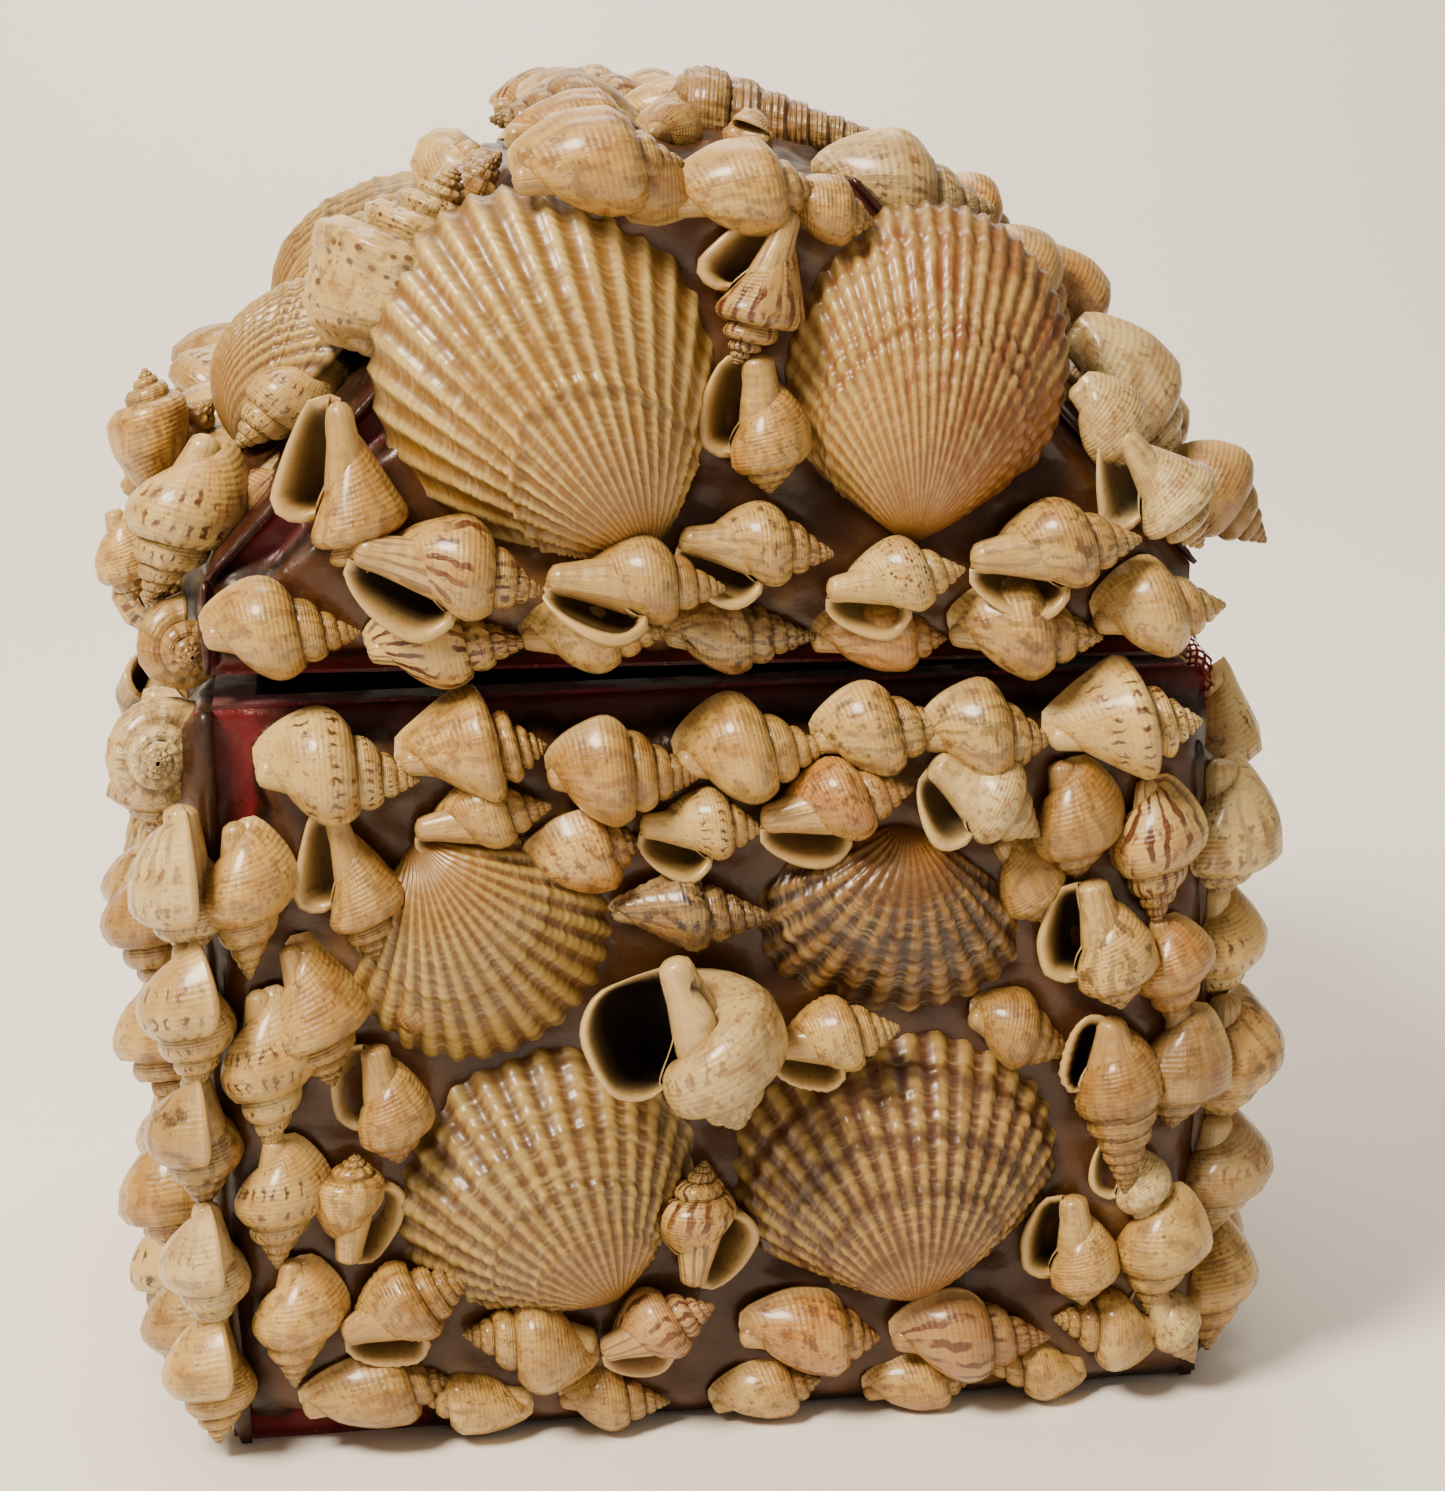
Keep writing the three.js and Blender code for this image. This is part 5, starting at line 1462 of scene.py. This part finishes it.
def glue_bed(name, node_name, at, bottom, top, half_width, seed, bare):
    chance = np.random.default_rng(seed)
    rows = int((top - bottom) / GRID_STEP) + 1
    columns = int(2 * half_width(bottom) / GRID_STEP) + 1
    up = np.linspace(bottom, top, rows)
    half = np.array([half_width(v) for v in up])
    share = np.linspace(-1, 1, columns)
    x, y = half[:, None] * share[None, :], np.broadcast_to(up[:, None], (rows, columns))
    load = np.zeros_like(x)
    for foot in at["feet"]:
        gap = gap_beside(foot, x, y)
        load += FILLET_SHARE * foot[-1] * np.exp(-((np.maximum(gap, 0) / GLUE_CREEP) ** 2))
    height = GLUE_FILM + GLUE_RISE * (1 - np.exp(-load))
    height += UNEVENNESS * rolling(x, y, chance) * (height - 0.6) / GLUE_RISE
    edge = (1 - np.abs(share)[None, :]) * half[:, None]
    edge = np.minimum(edge, np.minimum(y - bottom, top - y) + 0.02)
    if bare is not None:
        gone = np.clip(bare(x + 1.5 * rolling(x, y, chance), y + rolling(y, x, chance)), 0, 1)
        height = height * (1 - gone) + GLUE_TRACE * gone
    thick = height.copy()
    height = height * (1 - EDGE_THINNING * (1 - eased(edge, 0.0, EDGE_ROUND)))
    points = np.stack([x, y, height], -1).reshape(-1, 3)
    border = [(0, k) for k in range(columns)] + [(r, columns - 1) for r in range(1, rows)]
    border += [(rows - 1, k) for k in range(columns - 2, -1, -1)] + [(r, 0) for r in range(rows - 2, 0, -1)]
    rim = [r * columns + c for r, c in border]
    low = points[rim] * (1, 1, 0) + (0, 0, 0.02)
    first = rows * columns
    faces = [tuple(reversed(f)) for f in grid_faces(rows, columns)]
    count = len(rim)
    faces += [(rim[i], first + i, first + (i + 1) % count, rim[(i + 1) % count]) for i in range(count)]
    faces.append(tuple(first + i for i in range(count - 1, -1, -1)))
    points = moved(np.vstack([points, low]), at["matrix"])
    shape = form(points, faces, thick=np.r_[thick.ravel(), thick.ravel()[rim]])
    piece(name, shape, [OLD_GLUE], at["body"], [node_name])
    print(name, rows, "by", columns, "points, up to", round(float(height.max()), 1), "mm thick")


def bare_on_body(x, y):
    strip = eased(-x, 41.5, 44) * eased(y, 56, 61)
    rim = 0.85 * eased(y, 69.5, 72.5)
    corner = eased(-x, 26, 31) * eased(-y, -3.6, -2.2)
    return np.maximum(strip, np.maximum(rim, corner))


def bare_on_lid(x, y):
    slant = HALF_WIDTH - np.maximum(0, y - LID_SIDE_RISE) / math.tan(math.radians(SLOPE_ANGLE))
    strip = eased(-x - slant, -6, -4) * eased(y, 8, 12) * eased(-y, -38, -34)
    return np.maximum(strip, 0.85 * eased(-y, -3.4, -1.4))


wide_face, deep_face = straight(HALF_WIDTH + OVER_EDGE), straight(HALF_DEPTH + OVER_EDGE)
crest_face = straight(CREST_WIDTH / 2 + 0.8)
body_top, lid_peak, slope_top = BOX_HEIGHT - 0.4, LID_RISE + 0.8, SLOPE_LENGTH + 0.8
# Each bed: its face, its lowest and highest line, its half width, and where the glue is gone.
BEDS = [
    ("body_front", 0.4, body_top, wide_face, bare_on_body),
    ("body_left", 0.4, body_top, deep_face, None),
    ("body_right", 0.4, BOX_HEIGHT - 7.5, deep_face, None),
    ("body_back", 0.4, body_top, wide_face, None),
    ("lid_front", 0.4, lid_peak, lid_half_width, bare_on_lid),
    ("lid_back", 0.4, lid_peak, lid_half_width, None),
    ("lid_left", 0.2, slope_top, deep_face, None),
    ("lid_ledge", 0.4, LID_SIDE_RISE, deep_face, None),
    ("lid_right", 0.2, slope_top, deep_face, None),
    ("lid_top", 0.2, BOX_DEPTH - 0.2, crest_face, None),
]
for seed, (name, bottom, top, half_width, bare) in enumerate(BEDS, 1):
    node_name = "lid_left_bed" if name == "lid_ledge" else f"{name}_bed"
    glue_bed(f"{name}_glue", node_name, FACES[name], bottom, top, half_width, seed, bare)

# %% [markdown]
# ## The hinge
# The lid hangs on a strip of open red gauze, glued over the seam on the right side. A gauze is
# mostly air, so its weave is cut out by the material: threads in two directions, and nothing
# between them. The strip is one sheet over the joint and does not follow the lid; near the front it lifts a
# little off the seam.


# %% Red gauze over the seam
THREAD_SPACING = 0.62
GAUZE_REACH = 7
GAUZE_FRONT, GAUZE_BACK = -46.5, 39
GAUZE_LOW, GAUZE_HIGH = BOX_HEIGHT - GAUZE_REACH, LID_BASE + GAUZE_REACH
GAUZE_ROWS, GAUZE_COLUMNS = 29, 170


def red_gauze():
    made, tree, shader = new_material("red gauze")
    weave = node(tree, "SeparateXYZ", {0: mark(tree, "whorl", "Vector")}).outputs
    threads = None
    for axis in (weave[0], weave[1]):
        wave = reckoned(tree, "SINE", times(tree, axis, math.pi / THREAD_SPACING))
        thread = stretched(tree, reckoned(tree, "ABSOLUTE", wave), 0.7, 0.8)
        threads = thread if threads is None else reckoned(tree, "MAXIMUM", threads, thread)
    stains = placed_group(tree, DUST_AND_STAINS, {"Patch size": 200.0, "Speck size": 1500.0})
    red = mixed(tree, stains["Patches"], ink(138, 40, 50), ink(176, 84, 84))
    tree.links.new(red, shader.inputs["Base Color"])
    tree.links.new(stretched(tree, stains["Specks"], 0.0, 1.0, 0.9, 0.7), shader.inputs["Roughness"])
    tree.links.new(threads, shader.inputs["Alpha"])
    bumped(tree, shader, threads, 0.5, 0.15 * MM)
    return made


RED_GAUZE = red_gauze()


def gauze_strip():
    up = np.linspace(GAUZE_LOW, GAUZE_HIGH, GAUZE_ROWS)[:, None]
    along = np.linspace(GAUZE_FRONT, GAUZE_BACK, GAUZE_COLUMNS)[None, :]
    stand_off = 0.3 + 0.08 * np.sin(along * 1.3) + 0.06 * np.sin(along * 0.7 + up)
    loose = eased(-along, 43.5, 46.5) * np.exp(-(((up - BOX_HEIGHT + 0.5) / 2.6) ** 2))
    x = HALF_WIDTH + stand_off + loose * 2.2 * (1 + 0.3 * np.sin(up * 2.1))
    y = along + loose * 0.8 * np.sin(up * 2.1) + eased(-along, 44, 46.5) * 1.2 * (1 - loose)
    z = up - loose * 0.8 * np.sin(along * 2)
    points = np.stack([x, y, z], -1).reshape(-1, 3)
    weave = np.stack([np.broadcast_to(along, x.shape), np.broadcast_to(up, x.shape), np.zeros_like(z)], -1)
    mesh = bpy.data.meshes.new("hinge_gauze")
    mesh.from_pydata((points * MM).tolist(), [], grid_faces(GAUZE_ROWS, GAUZE_COLUMNS))
    attribute = mesh.attributes.new("whorl", "FLOAT_VECTOR", "POINT")
    attribute.data.foreach_set("vector", weave.astype(np.float32).ravel())
    mesh.materials.append(RED_GAUZE)
    mesh.shade_smooth()
    made = bpy.data.objects.new("hinge_gauze", mesh)
    bpy.context.scene.collection.objects.link(made)
    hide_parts("hinge_cloth_lower", "hinge_cloth_upper")
    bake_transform(made)


gauze_strip()
print("Gauze", GAUZE_BACK - GAUZE_FRONT, "by", GAUZE_HIGH - GAUZE_LOW, "mm")

# %% [markdown]
# ## Floor and light
# A pale table curves up behind the box. One large warm light high at the left and a weaker one at
# the right keep the shadows soft, as in the room where the picture was taken, and a third lights
# the backdrop alone.


# %% Table, backdrop and lamps
def table_top():
    bend, reach, height, width = 0.25, 0.5, 0.9, 1.6
    section = [(-0.9, 0.0), (reach, 0.0)]
    section += [
        (reach + bend * math.sin(a), bend - bend * math.cos(a)) for a in np.linspace(0.1, math.pi / 2, 12)
    ]
    section.append((reach + bend, height))
    points = [(side * width, y, z) for y, z in section for side in (-1, 1)]
    faces = [(2 * i, 2 * i + 1, 2 * i + 3, 2 * i + 2) for i in range(len(section) - 1)]
    mesh = bpy.data.meshes.new("table_top")
    mesh.from_pydata(points, [], faces)
    mesh.shade_smooth()
    made_material, tree, shader = new_material("pale table")
    set_values(shader, {"Base Color": ink(250, 246, 240), "Roughness": 0.5})
    mesh.materials.append(made_material)
    made = bpy.data.objects.new("table_top", mesh)
    bpy.context.scene.collection.objects.link(made)


def lamp(name, place, size, power, colour, aimed=(0, 0, 0.06)):
    data = bpy.data.lights.new(name, "AREA")
    data.shape = "DISK"
    data.size = size
    data.energy = power
    data.color = colour
    made = bpy.data.objects.new(name, data)
    bpy.context.scene.collection.objects.link(made)
    made.location = place
    aim = Vector(aimed) - Vector(place)
    made.rotation_mode = "QUATERNION"
    made.rotation_quaternion = aim.to_track_quat("-Z", "Y")


def room_light():
    world = bpy.data.worlds.new("room")
    world.use_nodes = True
    world.node_tree.nodes["Background"].inputs[0].default_value = (1.0, 0.9, 0.76, 1)
    world.node_tree.nodes["Background"].inputs[1].default_value = 0.22
    bpy.context.scene.world = world


table_top()
lamp("key", (-0.34, -0.3, 0.56), 0.22, 9.2, (1.0, 0.87, 0.68))
lamp("fill", (0.65, -0.5, 0.35), 0.6, 0.8, (1.0, 0.87, 0.72))
lamp("backdrop", (0.0, 0.3, 0.75), 0.5, 6.5, (1.0, 0.89, 0.77), aimed=(0.0, 0.85, 0.1))
room_light()
print("Lamps:", [light.name for light in bpy.data.lights])
